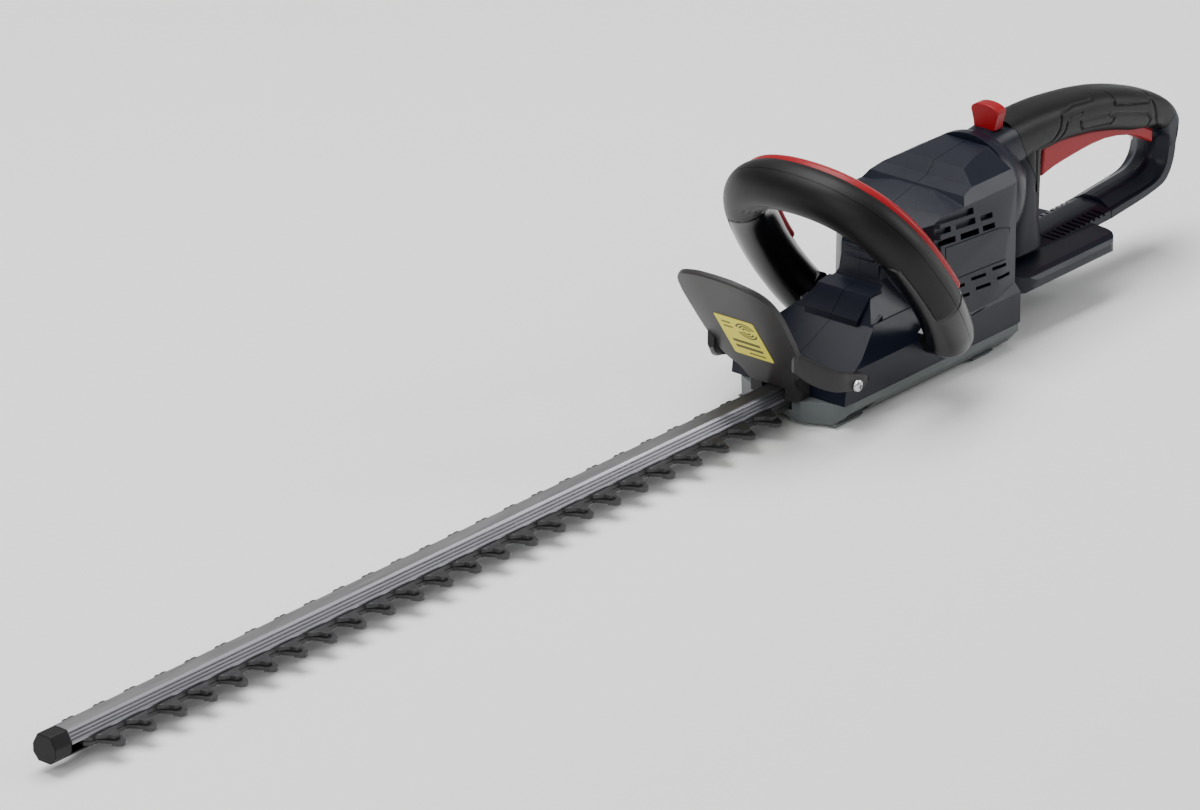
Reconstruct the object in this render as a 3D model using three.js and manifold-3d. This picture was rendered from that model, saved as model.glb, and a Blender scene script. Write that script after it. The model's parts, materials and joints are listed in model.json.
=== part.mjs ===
// Cordless hedge trimmer: dual-action toothed blades under an aluminium bar, a vertical motor
// with a pinion and a crank gear, a loop front handle with a switch bar, and a D-shaped rear
// handle that swivels about the long axis. Millimetres, +Z up, -X is the blade tip and -Y is the
// user's left. The tool frame used below has x = 0 at the first tooth and z = 0 at the meeting
// plane of the two blades; the outer group moves it so that the origin is under the middle of
// the whole tool, on the surface that it rests on.
import * as THREE from 'three';
import { mergeVertices } from 'three/addons/utils/BufferGeometryUtils.js';
import Module from 'manifold-3d';

const wasm = await Module();
wasm.setup();

// ---------------------------------------------------------------- driving dimensions
const GAP = 0.3;                  // clearance between fixed neighbours
const RUN = 0.5;                  // clearance round moving pieces
const TEETH = 24;                 // teeth on each side of each blade
const PITCH = 22;                 // tooth pitch
const STROKE = 6;                 // crank eccentricity, half of a blade's stroke
const BLADE_T = 2.3;              // blade thickness
const BLADE_HALF = 8;             // half width of a blade's back
const TOOTH_CUT = 16;             // reach of the ground tooth from the centre line
const TOOTH_BLUNT = 20;           // reach of the longer blunt tooth
const BOLT_R = 2.2;
const BOLT_EVERY = 4;             // a bolt at every fourth tooth
const BAR_TOP_HALF = 4.35;
const BAR_BASE_HALF = 7.5;
const BAR_H = 6.9;
const CAP_LEN = 12;               // end cap in front of the bar
const WALL = 2.6;                 // moulded wall of the housing and the handles
const BODY_HALF = 38;             // half width of the motor housing
const BODY_TOP = 98.5;            // top of the motor housing
const BODY_LEN = 161;             // length of the gearcase base
const BASE_TOP = 3;               // top of the gearcase base
const BASE_FLOOR = -9;            // underside of the gearcase base
const FOOT_H = 2;                 // feet under the base
const MODULE = 1.25;              // gear module
const PINION_TEETH = 9;
const GEAR_TEETH = 45;
const GEAR_T = 6;
const MOTOR_R = 18;
const MOTOR_LEN = 46;
const SWIVEL_Z = 69;              // height of the rear handle's swivel axis
const SWIVEL_R = 33;              // radius of the rear handle's front flange
const HANDLE_HALF = 15;           // half thickness of the rear handle
const GRIP_T = 2.4;               // thickness of the soft grip
const HANDLE_LEN = 179;           // swivel joint to the back of the rear handle
const DOCK_HALF = 34;             // half width of the battery dock
const LOOP_R = 13.5;              // radius of the front handle's section
const LOOP_OUT = 17.5;            // the front handle's centre line outside the motor housing
const LOOP_H = 122;               // height of the front handle's centre line along its lean
const LOOP_LEAN = 35.8;           // forward lean of the front handle, degrees
const GUARD_LEAN = 34;            // forward lean of the guard, degrees
const GUARD_HALF = 32;
const GUARD_H = 92;
const GUARD_T = 3.6;

// ---------------------------------------------------------------- sizes that follow from them
const LOWER_Z = -BLADE_T - GAP;
const BAR_Z = BLADE_T + GAP;
const BAR_TOP = BAR_Z + BAR_H;
const BLADE_END = (TEETH - 1) * PITCH + 24;         // where the toothed part stops
const BAR_FRONT = -23;
const CAP_FRONT = BAR_FRONT - CAP_LEN;
const BODY_FRONT = BLADE_END - 3;
const BODY_BACK = BODY_FRONT + BODY_LEN;
const HOUSING_Z = BASE_TOP + GAP;
const GEAR_X = BODY_FRONT + 75;
const MOTOR_X = GEAR_X + MODULE * (PINION_TEETH + GEAR_TEETH) / 2;
const ECC_R = 9;
const YOKE_X = ECC_R + 2 * STROKE + RUN;            // half length of a yoke's window
const YOKE_Y = ECC_R + STROKE + RUN;                // half width of a yoke's window
const YOKE_RIM = 5.5;
const BAR_BACK = GEAR_X - YOKE_X - YOKE_RIM - STROKE - 3;
const GEAR_Z = BAR_Z + 4;
const PLATE_Z = GEAR_Z + GEAR_T + 2;
const PLATE_T = 3.5;
const MOTOR_Z = PLATE_Z + PLATE_T + GAP;
const SHAFT_R = 5;
const MOTOR_SHAFT_R = 2.5;
const HANDLE_X = BODY_BACK + 2.5;                   // front face of the rear handle
const HANDLE_BACK = HANDLE_X + HANDLE_LEN;
const DOCK_Z = 14;                                  // underside of the battery dock
const NECK_R = 22.5;                                // neck that the rear handle swivels on
const NECK_BORE = NECK_R - 4.5;
const FLOOR_Z = BASE_FLOOR - FOOT_H;
const LOOP_HALF = BODY_HALF + LOOP_OUT;
const CLAMP_FRONT = BAR_BACK - 20;

// ---------------------------------------------------------------- shape helpers
function solid(geometry) {
  const bare = geometry.clone();
  bare.deleteAttribute('normal');
  bare.deleteAttribute('uv');
  const merged = mergeVertices(bare, 1e-4);
  const index = merged.index.array;
  const kept = [];
  for (let i = 0; i < index.length; i += 3) {
    const [a, b, c] = [index[i], index[i + 1], index[i + 2]];
    if (a !== b && b !== c && c !== a) kept.push(a, b, c);
  }
  return new wasm.Manifold(new wasm.Mesh({
    numProp: 3,
    vertProperties: new Float32Array(merged.attributes.position.array),
    triVerts: new Uint32Array(kept),
  }));
}

function geometryOf(manifold) {
  const mesh = manifold.getMesh();
  const geometry = new THREE.BufferGeometry();
  geometry.setAttribute('position', new THREE.BufferAttribute(mesh.vertProperties, 3));
  geometry.setIndex(new THREE.BufferAttribute(mesh.triVerts, 1));
  geometry.computeVertexNormals();
  return geometry;
}

function outline(points) {
  if (points instanceof THREE.Shape) return points;
  return new THREE.Shape(points.map(([a, b]) => new THREE.Vector2(a, b)));
}

// A prism of an outline: 'x' takes (y, z) points, 'y' takes (x, z) points, 'z' takes (x, y) points.
const PRISM_BASIS = {
  x: [[0, 1, 0], [0, 0, 1], [1, 0, 0]],
  y: [[1, 0, 0], [0, 0, 1], [0, -1, 0]],
  z: [[1, 0, 0], [0, 1, 0], [0, 0, 1]],
};
function prism(axis, points, from, to) {
  const geometry = new THREE.ExtrudeGeometry(outline(points), {
    depth: to - from, bevelEnabled: false, curveSegments: 8,
  });
  const basis = PRISM_BASIS[axis].map((v) => new THREE.Vector3(...v));
  geometry.applyMatrix4(new THREE.Matrix4().makeBasis(...basis));
  const start = axis === 'y' ? [0, to, 0] : [axis === 'x' ? from : 0, 0, axis === 'z' ? from : 0];
  geometry.translate(...start);
  return solid(geometry);
}

function box(x0, x1, y0, y1, z0, z1) {
  const geometry = new THREE.BoxGeometry(x1 - x0, y1 - y0, z1 - z0);
  geometry.translate((x0 + x1) / 2, (y0 + y1) / 2, (z0 + z1) / 2);
  return solid(geometry);
}

// A cylinder or cone along an axis, centred on the two other coordinates.
function rod(axis, r0, r1, from, to, centre, sides = 24) {
  const geometry = new THREE.CylinderGeometry(r1, r0, to - from, sides);
  const middle = (from + to) / 2;
  if (axis === 'z') geometry.rotateX(Math.PI / 2).translate(centre[0], centre[1], middle);
  if (axis === 'x') geometry.rotateZ(-Math.PI / 2).translate(middle, centre[0], centre[1]);
  if (axis === 'y') geometry.translate(centre[0], middle, centre[1]);
  return solid(geometry);
}

// A turned piece: (radius, height) points round a vertical axis at (x, y).
function turned(points, x, y, sides = 24) {
  const profile = points.map(([r, z]) => new THREE.Vector2(r, z));
  const geometry = new THREE.LatheGeometry(profile, sides);
  geometry.rotateX(Math.PI / 2).translate(x, y, 0);
  return solid(geometry);
}

function mirrored(points) {
  return [...points, ...points.map(([a, b]) => [-a, b]).reverse()];
}

// The same outline with every edge moved inwards by d (points run anticlockwise).
function insetOutline(points, d) {
  const n = points.length;
  return points.map((p, i) => {
    const before = points[(i + n - 1) % n];
    const after = points[(i + 1) % n];
    const a = new THREE.Vector2(p[0] - before[0], p[1] - before[1]).normalize();
    const b = new THREE.Vector2(after[0] - p[0], after[1] - p[1]).normalize();
    const na = new THREE.Vector2(-a.y, a.x);
    const nb = new THREE.Vector2(-b.y, b.x);
    const spread = 1 + na.dot(nb);
    return [p[0] + d * (na.x + nb.x) / spread, p[1] + d * (na.y + nb.y) / spread];
  });
}

function union(...shapes) {
  return shapes.reduce((whole, next) => whole.add(next));
}

function cut(shape, ...tools) {
  return tools.reduce((rest, tool) => rest.subtract(tool), shape);
}

// ---------------------------------------------------------------- materials and nodes
const FINISHES = {
  navy: [0x1e212d, 0.45, 0], rubber: [0x191919, 0.8, 0], red: [0x96191e, 0.5, 0],
  grey: [0x7d7d82, 0.55, 0], guard: [0x4b4848, 0.5, 0], black: [0x101010, 0.5, 0],
  steel: [0x3e4040, 0.4, 0.9], bright: [0xb0b0b0, 0.25, 1], aluminium: [0x828284, 0.35, 0.9],
  yellow: [0xd7cd50, 0.6, 0], copper: [0xb06a3a, 0.4, 0.9], brass: [0xc9a24a, 0.35, 1],
  board: [0x1d5a34, 0.6, 0], zinc: [0x9a9c9e, 0.4, 0.9],
};
const tool = new THREE.Group();
function add(name, shape, finish, parent = tool) {
  const [color, roughness, metalness] = FINISHES[finish];
  const material = new THREE.MeshStandardMaterial({ color, roughness, metalness });
  const mesh = new THREE.Mesh(geometryOf(shape), material);
  mesh.name = name;
  parent.add(mesh);
  return mesh;
}

// ---------------------------------------------------------------- blades, bar and their bolts
const BOLT_XS = [];
for (let tooth = 1; tooth < TEETH; tooth += BOLT_EVERY) BOLT_XS.push(tooth * PITCH);

// One blade: a back strip with teeth on both sides, slotted at the bolts, with a yoke behind.
function blade(z, reach, tipHalf, frontX) {
  const rootHalf = PITCH * 0.34;
  const right = [];
  for (let i = 0; i < TEETH; i += 1) {
    const x = i * PITCH;
    right.push([x - rootHalf, BLADE_HALF], [x - tipHalf, reach - tipHalf * 0.5], [x, reach]);
    right.push([x + tipHalf, reach - tipHalf * 0.5], [x + rootHalf, BLADE_HALF]);
  }
  const yokeFront = GEAR_X - YOKE_X - YOKE_RIM;
  const yokeBack = GEAR_X + YOKE_X + YOKE_RIM;
  const yokeHalf = YOKE_Y + YOKE_RIM;
  const half = [[frontX, BLADE_HALF - 3], [frontX + 3, BLADE_HALF], ...right];
  half.push([yokeFront - 6, BLADE_HALF], [yokeFront, yokeHalf], [yokeBack, yokeHalf]);
  const whole = [...half, ...half.map(([x, y]) => [x, -y]).reverse()];
  const shape = new THREE.Shape(whole.reverse().map(([x, y]) => new THREE.Vector2(x, y)));
  const slotX = BOLT_R + STROKE + GAP;
  const slotY = BOLT_R + GAP;
  const corner = slotY * 0.55;
  const slotHalf = [
    [slotX - corner, slotY], [slotX, slotY - corner], [slotX, corner - slotY], [slotX - corner, -slotY],
  ];
  for (const x of BOLT_XS) {
    const ring = [...slotHalf, ...slotHalf.map(([a, b]) => [-a, -b])];
    const slot = new THREE.Path(ring.map(([a, b]) => new THREE.Vector2(x + a, b)));
    shape.holes.push(slot);
  }
  const window = new THREE.Path();
  window.moveTo(GEAR_X - YOKE_X, -YOKE_Y);
  window.lineTo(GEAR_X + YOKE_X, -YOKE_Y);
  window.lineTo(GEAR_X + YOKE_X, YOKE_Y);
  window.lineTo(GEAR_X - YOKE_X, YOKE_Y);
  window.closePath();
  shape.holes.push(window);
  return prism('z', shape, z, z + BLADE_T);
}
add('blade_upper', blade(0, TOOTH_CUT, 2.4, -13), 'steel');
add('blade_lower', blade(LOWER_Z, TOOTH_BLUNT, 3.5, -13), 'steel');

// The bar is an extrusion with three grooves on each flank and a T-slot for the bolt heads.
const HEAD_HALF = 3.5;
const HEAD_Z = BAR_Z + 2.2;
const HEAD_T = 2.5;
function barSection() {
  const flank = [];
  const flankAt = (t) => [BAR_BASE_HALF + (BAR_TOP_HALF - BAR_BASE_HALF) * t, BAR_Z + 0.8 + (BAR_H - 0.8) * t];
  for (const t of [0.2, 0.45, 0.7]) {
    const low = flankAt(t);
    const high = flankAt(t + 0.1);
    flank.push(low, [low[0] - 0.7, low[1]], [high[0] - 0.7, high[1]], high);
  }
  const slotHalf = BOLT_R + GAP;
  const headHalf = HEAD_HALF + GAP;
  const half = [[slotHalf, BAR_Z], [BAR_BASE_HALF, BAR_Z], flankAt(0), ...flank, [BAR_TOP_HALF, BAR_TOP]];
  const inner = [
    [slotHalf, HEAD_Z - GAP], [headHalf, HEAD_Z - GAP], [headHalf, HEAD_Z + HEAD_T + GAP],
  ];
  const left = half.map(([y, z]) => [-y, z]).reverse();
  const innerLeft = inner.map(([y, z]) => [-y, z]);
  return [...half, ...left, ...innerLeft, ...inner.reverse()];
}
add('guide_bar', prism('x', barSection(), BAR_FRONT, BAR_BACK), 'aluminium');

function hexagon(acrossHalf) {
  const r = acrossHalf / Math.cos(Math.PI / 6);
  const corners = [];
  for (let i = 0; i < 6; i += 1) {
    const a = i * Math.PI / 3;
    corners.push([r * Math.cos(a), r * Math.sin(a)]);
  }
  return corners;
}
const NUT_T = 3;
const NUT_Z = LOWER_Z - GAP - NUT_T;
const boltShape = union(
  prism('z', hexagon(HEAD_HALF), HEAD_Z, HEAD_Z + HEAD_T),
  rod('z', BOLT_R, BOLT_R, NUT_Z - 0.6, HEAD_Z + 0.1, [0, 0], 12),
);
const nutShape = cut(
  prism('z', hexagon(HEAD_HALF), NUT_Z, NUT_Z + NUT_T),
  rod('z', BOLT_R + 0.15, BOLT_R + 0.15, NUT_Z - 1, NUT_Z + NUT_T + 1, [0, 0], 12),
);
BOLT_XS.forEach((x, i) => {
  add(`blade_bolt_${i + 1}`, boltShape, 'bright').position.x = x;
  add(`blade_nut_${i + 1}`, nutShape, 'bright').position.x = x;
});

// The end cap plugs into the bar's slot and runs on below the blades.
const CAP_BOTTOM = LOWER_Z - 2.4;
const capSection = mirrored([
  [BAR_TOP_HALF, CAP_BOTTOM], [BAR_BASE_HALF, CAP_BOTTOM + 4], [BAR_BASE_HALF, BAR_Z + 1],
  [BAR_TOP_HALF, BAR_TOP],
]);
add('end_cap', union(
  prism('x', capSection, CAP_FRONT, BAR_FRONT - GAP),
  cut(prism('x', capSection, BAR_FRONT - GAP - 0.1, -5), box(BAR_FRONT - GAP, 0, -30, 30, LOWER_Z - GAP, 30)),
  box(BAR_FRONT - GAP - 0.1, BAR_FRONT + 10, -HEAD_HALF, HEAD_HALF, HEAD_Z, HEAD_Z + HEAD_T),
), 'black');

// ---------------------------------------------------------------- gearcase base
const chinArch = rod('x', 30, 30, BODY_FRONT - 1, BODY_FRONT + 16, [0, FLOOR_Z - 26], 32);
const baseSection = mirrored([
  [BODY_HALF - 7, BASE_FLOOR], [BODY_HALF, BASE_FLOOR + 8], [BODY_HALF, BASE_TOP],
]);
const basePlan = [
  [BODY_FRONT + 2, -15], [BODY_FRONT + 10, -BODY_HALF + 7], [BODY_FRONT + 18, -BODY_HALF],
  [BODY_BACK, -BODY_HALF], [BODY_BACK, BODY_HALF],
  [BODY_FRONT + 18, BODY_HALF], [BODY_FRONT + 10, BODY_HALF - 7], [BODY_FRONT + 2, 15],
];
const YOKE_BAY_FRONT = BODY_FRONT + 22;
const YOKE_BAY_BACK = GEAR_X + YOKE_X + YOKE_RIM + STROKE + RUN + 0.5;
const yokeBayHalf = YOKE_Y + YOKE_RIM + RUN + 1;
const feet = [];
for (const side of [-1, 1]) {
  for (const [x, long] of [[BODY_FRONT + 21, 20], [BODY_BACK - 24, 14]]) {
    feet.push(box(x - long / 2, x + long / 2, side * 27 - 4, side * 27 + 4, FLOOR_Z, BASE_FLOOR + 0.5));
  }
}
const recessPlan = [
  [BODY_FRONT + 17, -7.5], [BODY_FRONT + 36, -7.5], [BODY_FRONT + 40, -3.5], [BODY_FRONT + 17, -3.5],
];
const sideRecesses = [
  prism('y', recessPlan, -BODY_HALF - 2, -BODY_HALF + 8), prism('y', recessPlan, BODY_HALF - 8, BODY_HALF + 2),
];
const LOWER_BEARING_R = 9.5;
add('gearcase_base', cut(
  union(
    prism('x', baseSection, BODY_FRONT, BODY_BACK).intersect(prism('z', basePlan, BASE_FLOOR - 1, BASE_TOP)),
    ...feet,
  ),
  chinArch,
  box(YOKE_BAY_FRONT, YOKE_BAY_BACK, -yokeBayHalf, yokeBayHalf, LOWER_Z - 1, BASE_TOP + 1),
  box(BODY_FRONT - 1, YOKE_BAY_FRONT + 1, -BLADE_HALF - 1, BLADE_HALF + 1, LOWER_Z - 1, BASE_TOP + 1),
  rod('z', LOWER_BEARING_R + GAP, LOWER_BEARING_R + GAP, LOWER_Z - 3.9, BASE_TOP, [GEAR_X, 0]),
  box(YOKE_BAY_BACK + 4, BODY_BACK - WALL, -BODY_HALF + 6, BODY_HALF - 6, BASE_FLOOR + 5, BASE_TOP + 1),
  ...sideRecesses,
), 'grey');

// ---------------------------------------------------------------- motor housing, two shells
const HOOD_X = BODY_FRONT + 72;   // front of the nose block
const HOUSING_BACK = BODY_BACK + 1.5;
const sideProfile = [
  [BODY_FRONT + 10, HOUSING_Z], [HOUSING_BACK, HOUSING_Z], [HOUSING_BACK, BODY_TOP],
  [BODY_BACK - 13, BODY_TOP - 1], [BODY_BACK - 27, BODY_TOP - 3], [BODY_BACK - 33, BODY_TOP - 9],
  [BODY_BACK - 63, BODY_TOP - 14], [HOOD_X + 12, BODY_TOP - 17], [HOOD_X + 3, BODY_TOP - 25],
  [HOOD_X, 58], [HOOD_X - 2, 47], [HOOD_X - 15, 44], [HOOD_X - 24, 33], [BODY_FRONT + 28, 24],
  [BODY_FRONT + 12, 19],
];
const lowerSection = mirrored([[BODY_HALF, HOUSING_Z - 1], [BODY_HALF, 21], [26, 34]]);
const upperSection = mirrored([
  [BODY_HALF - 1, 20], [BODY_HALF - 2, BODY_TOP - 18], [BODY_HALF - 8, BODY_TOP - 9], [14, BODY_TOP + 0.5],
]);
const STEP_X = BODY_BACK - 36;    // the roof steps down in front of this
const frontSection = mirrored([
  [BODY_HALF - 1, 20], [BODY_HALF - 2, BODY_TOP - 32], [BODY_HALF - 10, BODY_TOP - 22], [13, BODY_TOP - 9],
]);
const upperPlan = [
  [HOOD_X + 4, -14], [HOOD_X + 12, -24], [HOOD_X + 26, -BODY_HALF], [HOUSING_BACK - 26, -BODY_HALF],
  [HOUSING_BACK, -SWIVEL_R - 1], [HOUSING_BACK, SWIVEL_R + 1], [HOUSING_BACK - 26, BODY_HALF],
  [HOOD_X + 26, BODY_HALF], [HOOD_X + 12, 24], [HOOD_X + 4, 14],
];
const hoodSection = mirrored([[32, HOUSING_Z - 1], [32, 24], [19, 42], [14, 50], [12, BODY_TOP]]);

function housingBody(inset) {
  const back = HOUSING_BACK - inset;
  const high = union(
    prism('x', insetOutline(upperSection, inset), STEP_X + inset, back),
    prism('x', insetOutline(frontSection, inset), HOOD_X, STEP_X + inset + 4),
  ).intersect(prism('z', insetOutline(upperPlan, inset), HOUSING_Z, BODY_TOP + 2));
  return prism('y', insetOutline(sideProfile, inset), -BODY_HALF - 1, BODY_HALF + 1).intersect(union(
    prism('x', insetOutline(lowerSection, inset), BODY_FRONT, back),
    high,
    prism('x', insetOutline(hoodSection, inset), BODY_FRONT, HOOD_X + 30 - inset),
  ));
}

function ventSlots(side) {
  const slots = [];
  const from = side < 0 ? -BODY_HALF - 1 : BODY_HALF - WALL - 4;
  const slot = (x0, x1, z0, z1) => slots.push(box(x0, x1, from, from + WALL + 5, z0, z1));
  const x = BODY_BACK;
  slot(x - 68, x - 36, 77, 80.5);
  for (const [row, split] of [[71, -51], [64.5, -48]]) {
    slot(x - 68, x + split - 1.5, row, row + 3.5);
    slot(x + split + 1.5, x - 34, row, row + 3.5);
  }
  for (const row of [74, 67.5]) slot(x - 29, x - 18, row, row + 3.5);
  for (const row of [38, 31.5]) {
    for (let i = 0; i < 3; i += 1) slot(x - 52 + 17 * i, x - 40 + 17 * i, row, row + 1.8);
  }
  return slots;
}

const housingShell = cut(
  housingBody(0),
  housingBody(WALL),
  box(CLAMP_FRONT - 3, BODY_BACK - 2, -BODY_HALF + WALL, BODY_HALF - WALL, HOUSING_Z - 2, 12),
  box(BODY_FRONT - 5, BODY_FRONT + 20, -BLADE_HALF - 1, BLADE_HALF + 1, 0, BAR_TOP + 1),
  rod('x', NECK_R + GAP, NECK_R + GAP, BODY_BACK - 8, BODY_BACK + 6, [0, SWIVEL_Z], 32),
);
const WING_SCREW = [BODY_FRONT + 15.5, 15];
const screwHole = (r) => rod('y', r, r, -60, 60, WING_SCREW, 12);
function halfSpace(side) {
  const [y0, y1] = side < 0 ? [-90, -GAP / 2] : [GAP / 2, 90];
  return box(BODY_FRONT - 50, HANDLE_BACK + 50, y0, y1, -40, 190);
}
add('motor_housing_left', cut(housingShell, ...ventSlots(-1), screwHole(2.1)).intersect(halfSpace(-1)), 'navy');
add('motor_housing_right', cut(housingShell, ...ventSlots(1), screwHole(2.1)).intersect(halfSpace(1)), 'navy');

// ---------------------------------------------------------------- gear train
function gearOutline(teeth) {
  const pitchR = MODULE * teeth / 2;
  const points = [];
  for (let i = 0; i < teeth; i += 1) {
    const a = (2 * Math.PI * i) / teeth;
    const step = (2 * Math.PI) / teeth;
    const root = pitchR - MODULE * 1.2;
    const tip = pitchR + MODULE * 0.85;
    for (const [share, r] of [[0.28, root], [0.4, tip], [0.6, tip], [0.72, root]]) {
      points.push([r * Math.cos(a + share * step), r * Math.sin(a + share * step)]);
    }
  }
  return points;
}
function moved(points, x, y) {
  return points.map(([a, b]) => [a + x, b + y]);
}
function turnedBy(points, angle) {
  return points.map(([a, b]) => [
    a * Math.cos(angle) - b * Math.sin(angle), a * Math.sin(angle) + b * Math.cos(angle),
  ]);
}
// The gear has a gap on the line of centres and the pinion a tooth.
const pinionTurned = turnedBy(gearOutline(PINION_TEETH), Math.PI - Math.PI / PINION_TEETH);
const shaftHole = (r, z0, z1) => rod('z', r, r, z0, z1, [GEAR_X, 0]);
add('crank_gear', cut(
  prism('z', moved(gearOutline(GEAR_TEETH), GEAR_X, 0), GEAR_Z, GEAR_Z + GEAR_T),
  shaftHole(SHAFT_R + 0.15, GEAR_Z - 1, GEAR_Z + GEAR_T + 1),
), 'zinc');
add('crank_shaft', rod('z', SHAFT_R, SHAFT_R, LOWER_Z - 3.7, PLATE_Z + PLATE_T, [GEAR_X, 0]), 'bright');
for (const [name, z, side] of [['eccentric_upper', 0, 1], ['eccentric_lower', LOWER_Z, -1]]) {
  add(name, cut(
    rod('z', ECC_R + 3, ECC_R + 3, z, z + BLADE_T, [GEAR_X, side * (STROKE - 3)], 32),
    shaftHole(SHAFT_R + 0.15, z - 1, z + BLADE_T + 1),
  ), 'steel');
}
function bearing(name, z0, z1, outer) {
  const inner = SHAFT_R + 0.15;
  add(name, turned([[inner, z0], [outer, z0], [outer, z1], [inner, z1], [inner, z0]], GEAR_X, 0, 20), 'bright');
}
bearing('crank_bearing_lower', LOWER_Z - 3.7, LOWER_Z - 1.2, LOWER_BEARING_R);
bearing('crank_bearing_upper', PLATE_Z, PLATE_Z + PLATE_T, 10);
const platePlan = [
  [BAR_BACK - 8, -28], [GEAR_X - 24, -33], [MOTOR_X + 24, -33], [MOTOR_X + 24, 33],
  [GEAR_X - 24, 33], [BAR_BACK - 8, 28],
];
add('gear_plate', cut(
  prism('z', platePlan, PLATE_Z, PLATE_Z + PLATE_T).intersect(housingBody(WALL + GAP)),
  shaftHole(10.3, PLATE_Z - 1, PLATE_Z + PLATE_T + 1),
  rod('z', 8, 8, PLATE_Z - 1, PLATE_Z + PLATE_T + 1, [MOTOR_X, 0]),
), 'aluminium');
add('bar_clamp', cut(
  box(CLAMP_FRONT, BAR_BACK, -14, 14, BAR_Z + 1, PLATE_Z - GAP),
  box(CLAMP_FRONT - 1, BAR_BACK + 1, -BAR_BASE_HALF - GAP, BAR_BASE_HALF + GAP, 0, BAR_TOP + GAP),
), 'zinc');

// ---------------------------------------------------------------- motor
const MOTOR_TOP = MOTOR_Z + MOTOR_LEN;
const CAN_T = 1.5;
const END_T = 5;
add('motor_can', turned([
  [MOTOR_R, MOTOR_Z + END_T], [MOTOR_R, MOTOR_TOP], [6, MOTOR_TOP], [6, MOTOR_TOP + 3],
  [MOTOR_SHAFT_R + RUN, MOTOR_TOP + 3], [MOTOR_SHAFT_R + RUN, MOTOR_TOP - CAN_T],
  [MOTOR_R - CAN_T, MOTOR_TOP - CAN_T], [MOTOR_R - CAN_T, MOTOR_Z + END_T], [MOTOR_R, MOTOR_Z + END_T],
], MOTOR_X, 0, 32), 'zinc');
add('motor_endbell', turned([
  [MOTOR_SHAFT_R + RUN, MOTOR_Z - 3], [7.5, MOTOR_Z - 3], [7.5, MOTOR_Z], [MOTOR_R, MOTOR_Z],
  [MOTOR_R, MOTOR_Z + END_T - GAP], [MOTOR_SHAFT_R + RUN, MOTOR_Z + END_T - GAP],
  [MOTOR_SHAFT_R + RUN, MOTOR_Z - 3],
], MOTOR_X, 0, 32), 'black');
const magnetRing = turned([
  [14, MOTOR_Z + 14], [MOTOR_R - CAN_T - GAP, MOTOR_Z + 14], [MOTOR_R - CAN_T - GAP, MOTOR_TOP - 8],
  [14, MOTOR_TOP - 8], [14, MOTOR_Z + 14],
], MOTOR_X, 0, 32);
for (const [name, side] of [['motor_magnet_left', -1], ['motor_magnet_right', 1]]) {
  const keep = box(MOTOR_X - 13, MOTOR_X + 13, side < 0 ? -30 : 2, side < 0 ? -2 : 30, 0, BODY_TOP);
  add(name, magnetRing.intersect(keep), 'steel');
}
const SHAFT_TOP = MOTOR_TOP + 13;
add('motor_rotor', turned([
  [0, GEAR_Z - 1], [MOTOR_SHAFT_R, GEAR_Z - 1], [MOTOR_SHAFT_R, MOTOR_Z + 7], [7, MOTOR_Z + 7], [7, MOTOR_Z + 14],
  [12.5, MOTOR_Z + 15], [12.5, MOTOR_TOP - 8], [5, MOTOR_TOP - 5], [MOTOR_SHAFT_R, MOTOR_TOP - 5],
  [MOTOR_SHAFT_R, SHAFT_TOP], [0, SHAFT_TOP],
], MOTOR_X, 0), 'copper');
add('motor_pinion', cut(
  prism('z', moved(pinionTurned, MOTOR_X, 0), GEAR_Z, GEAR_Z + GEAR_T + 1),
  rod('z', MOTOR_SHAFT_R + 0.15, MOTOR_SHAFT_R + 0.15, GEAR_Z - 1, GEAR_Z + GEAR_T + 2, [MOTOR_X, 0]),
), 'bright');
const FAN_Z = MOTOR_TOP + 4;
const FAN_R = 24;
const fanBlades = [];
for (let i = 0; i < 9; i += 1) {
  const vane = new THREE.BoxGeometry(FAN_R - 7, 1.2, 6);
  vane.translate(FAN_R / 2 + 3, 0, FAN_Z + 4);
  vane.rotateZ((i * 2 * Math.PI) / 9);
  vane.translate(MOTOR_X, 0, 0);
  fanBlades.push(solid(vane));
}
add('cooling_fan', cut(
  union(
    rod('z', FAN_R, FAN_R, FAN_Z, FAN_Z + 1.6, [MOTOR_X, 0], 32),
    rod('z', 7, 7, FAN_Z, FAN_Z + 7, [MOTOR_X, 0]),
    ...fanBlades,
  ),
  rod('z', MOTOR_SHAFT_R + 0.15, MOTOR_SHAFT_R + 0.15, FAN_Z - 1, FAN_Z + 9, [MOTOR_X, 0]),
), 'black');

// ---------------------------------------------------------------- blade guard
function leaningGroup(degrees, x, z) {
  const lean = THREE.MathUtils.degToRad(degrees);
  const group = new THREE.Group();
  group.position.set(x, 0, z);
  group.quaternion.setFromRotationMatrix(new THREE.Matrix4().makeBasis(
    new THREE.Vector3(0, 1, 0),
    new THREE.Vector3(-Math.sin(lean), 0, Math.cos(lean)),
    new THREE.Vector3(Math.cos(lean), 0, Math.sin(lean)),
  ));
  group.updateMatrixWorld();
  tool.add(group);
  return group;
}
// Turns a solid built in a leaning group's own axes (across, up the lean, back) into tool axes.
function placed(shape, group) {
  return shape.transform(group.matrix.elements);
}
const GUARD_X = BODY_FRONT - 3;
const GUARD_Z = BAR_TOP + 0.5;
const guard = leaningGroup(GUARD_LEAN, GUARD_X, GUARD_Z);
const shieldHalf = [
  [16, 0], [17, 11], [24, 13], [GUARD_HALF - 4, 20], [GUARD_HALF - 1, 36], [GUARD_HALF, 50],
  [GUARD_HALF + 0.5, 66], [GUARD_HALF - 3, GUARD_H - 14], [GUARD_HALF - 10, GUARD_H - 5],
  [GUARD_HALF - 20, GUARD_H - 1],
  [0, GUARD_H],
];
const shieldOutline = [...shieldHalf, ...shieldHalf.slice(0, -1).map(([a, b]) => [-a, b]).reverse()];
const WING_Y = BODY_HALF + GAP;
const WING_BACK = GUARD_X + 27;
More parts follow.
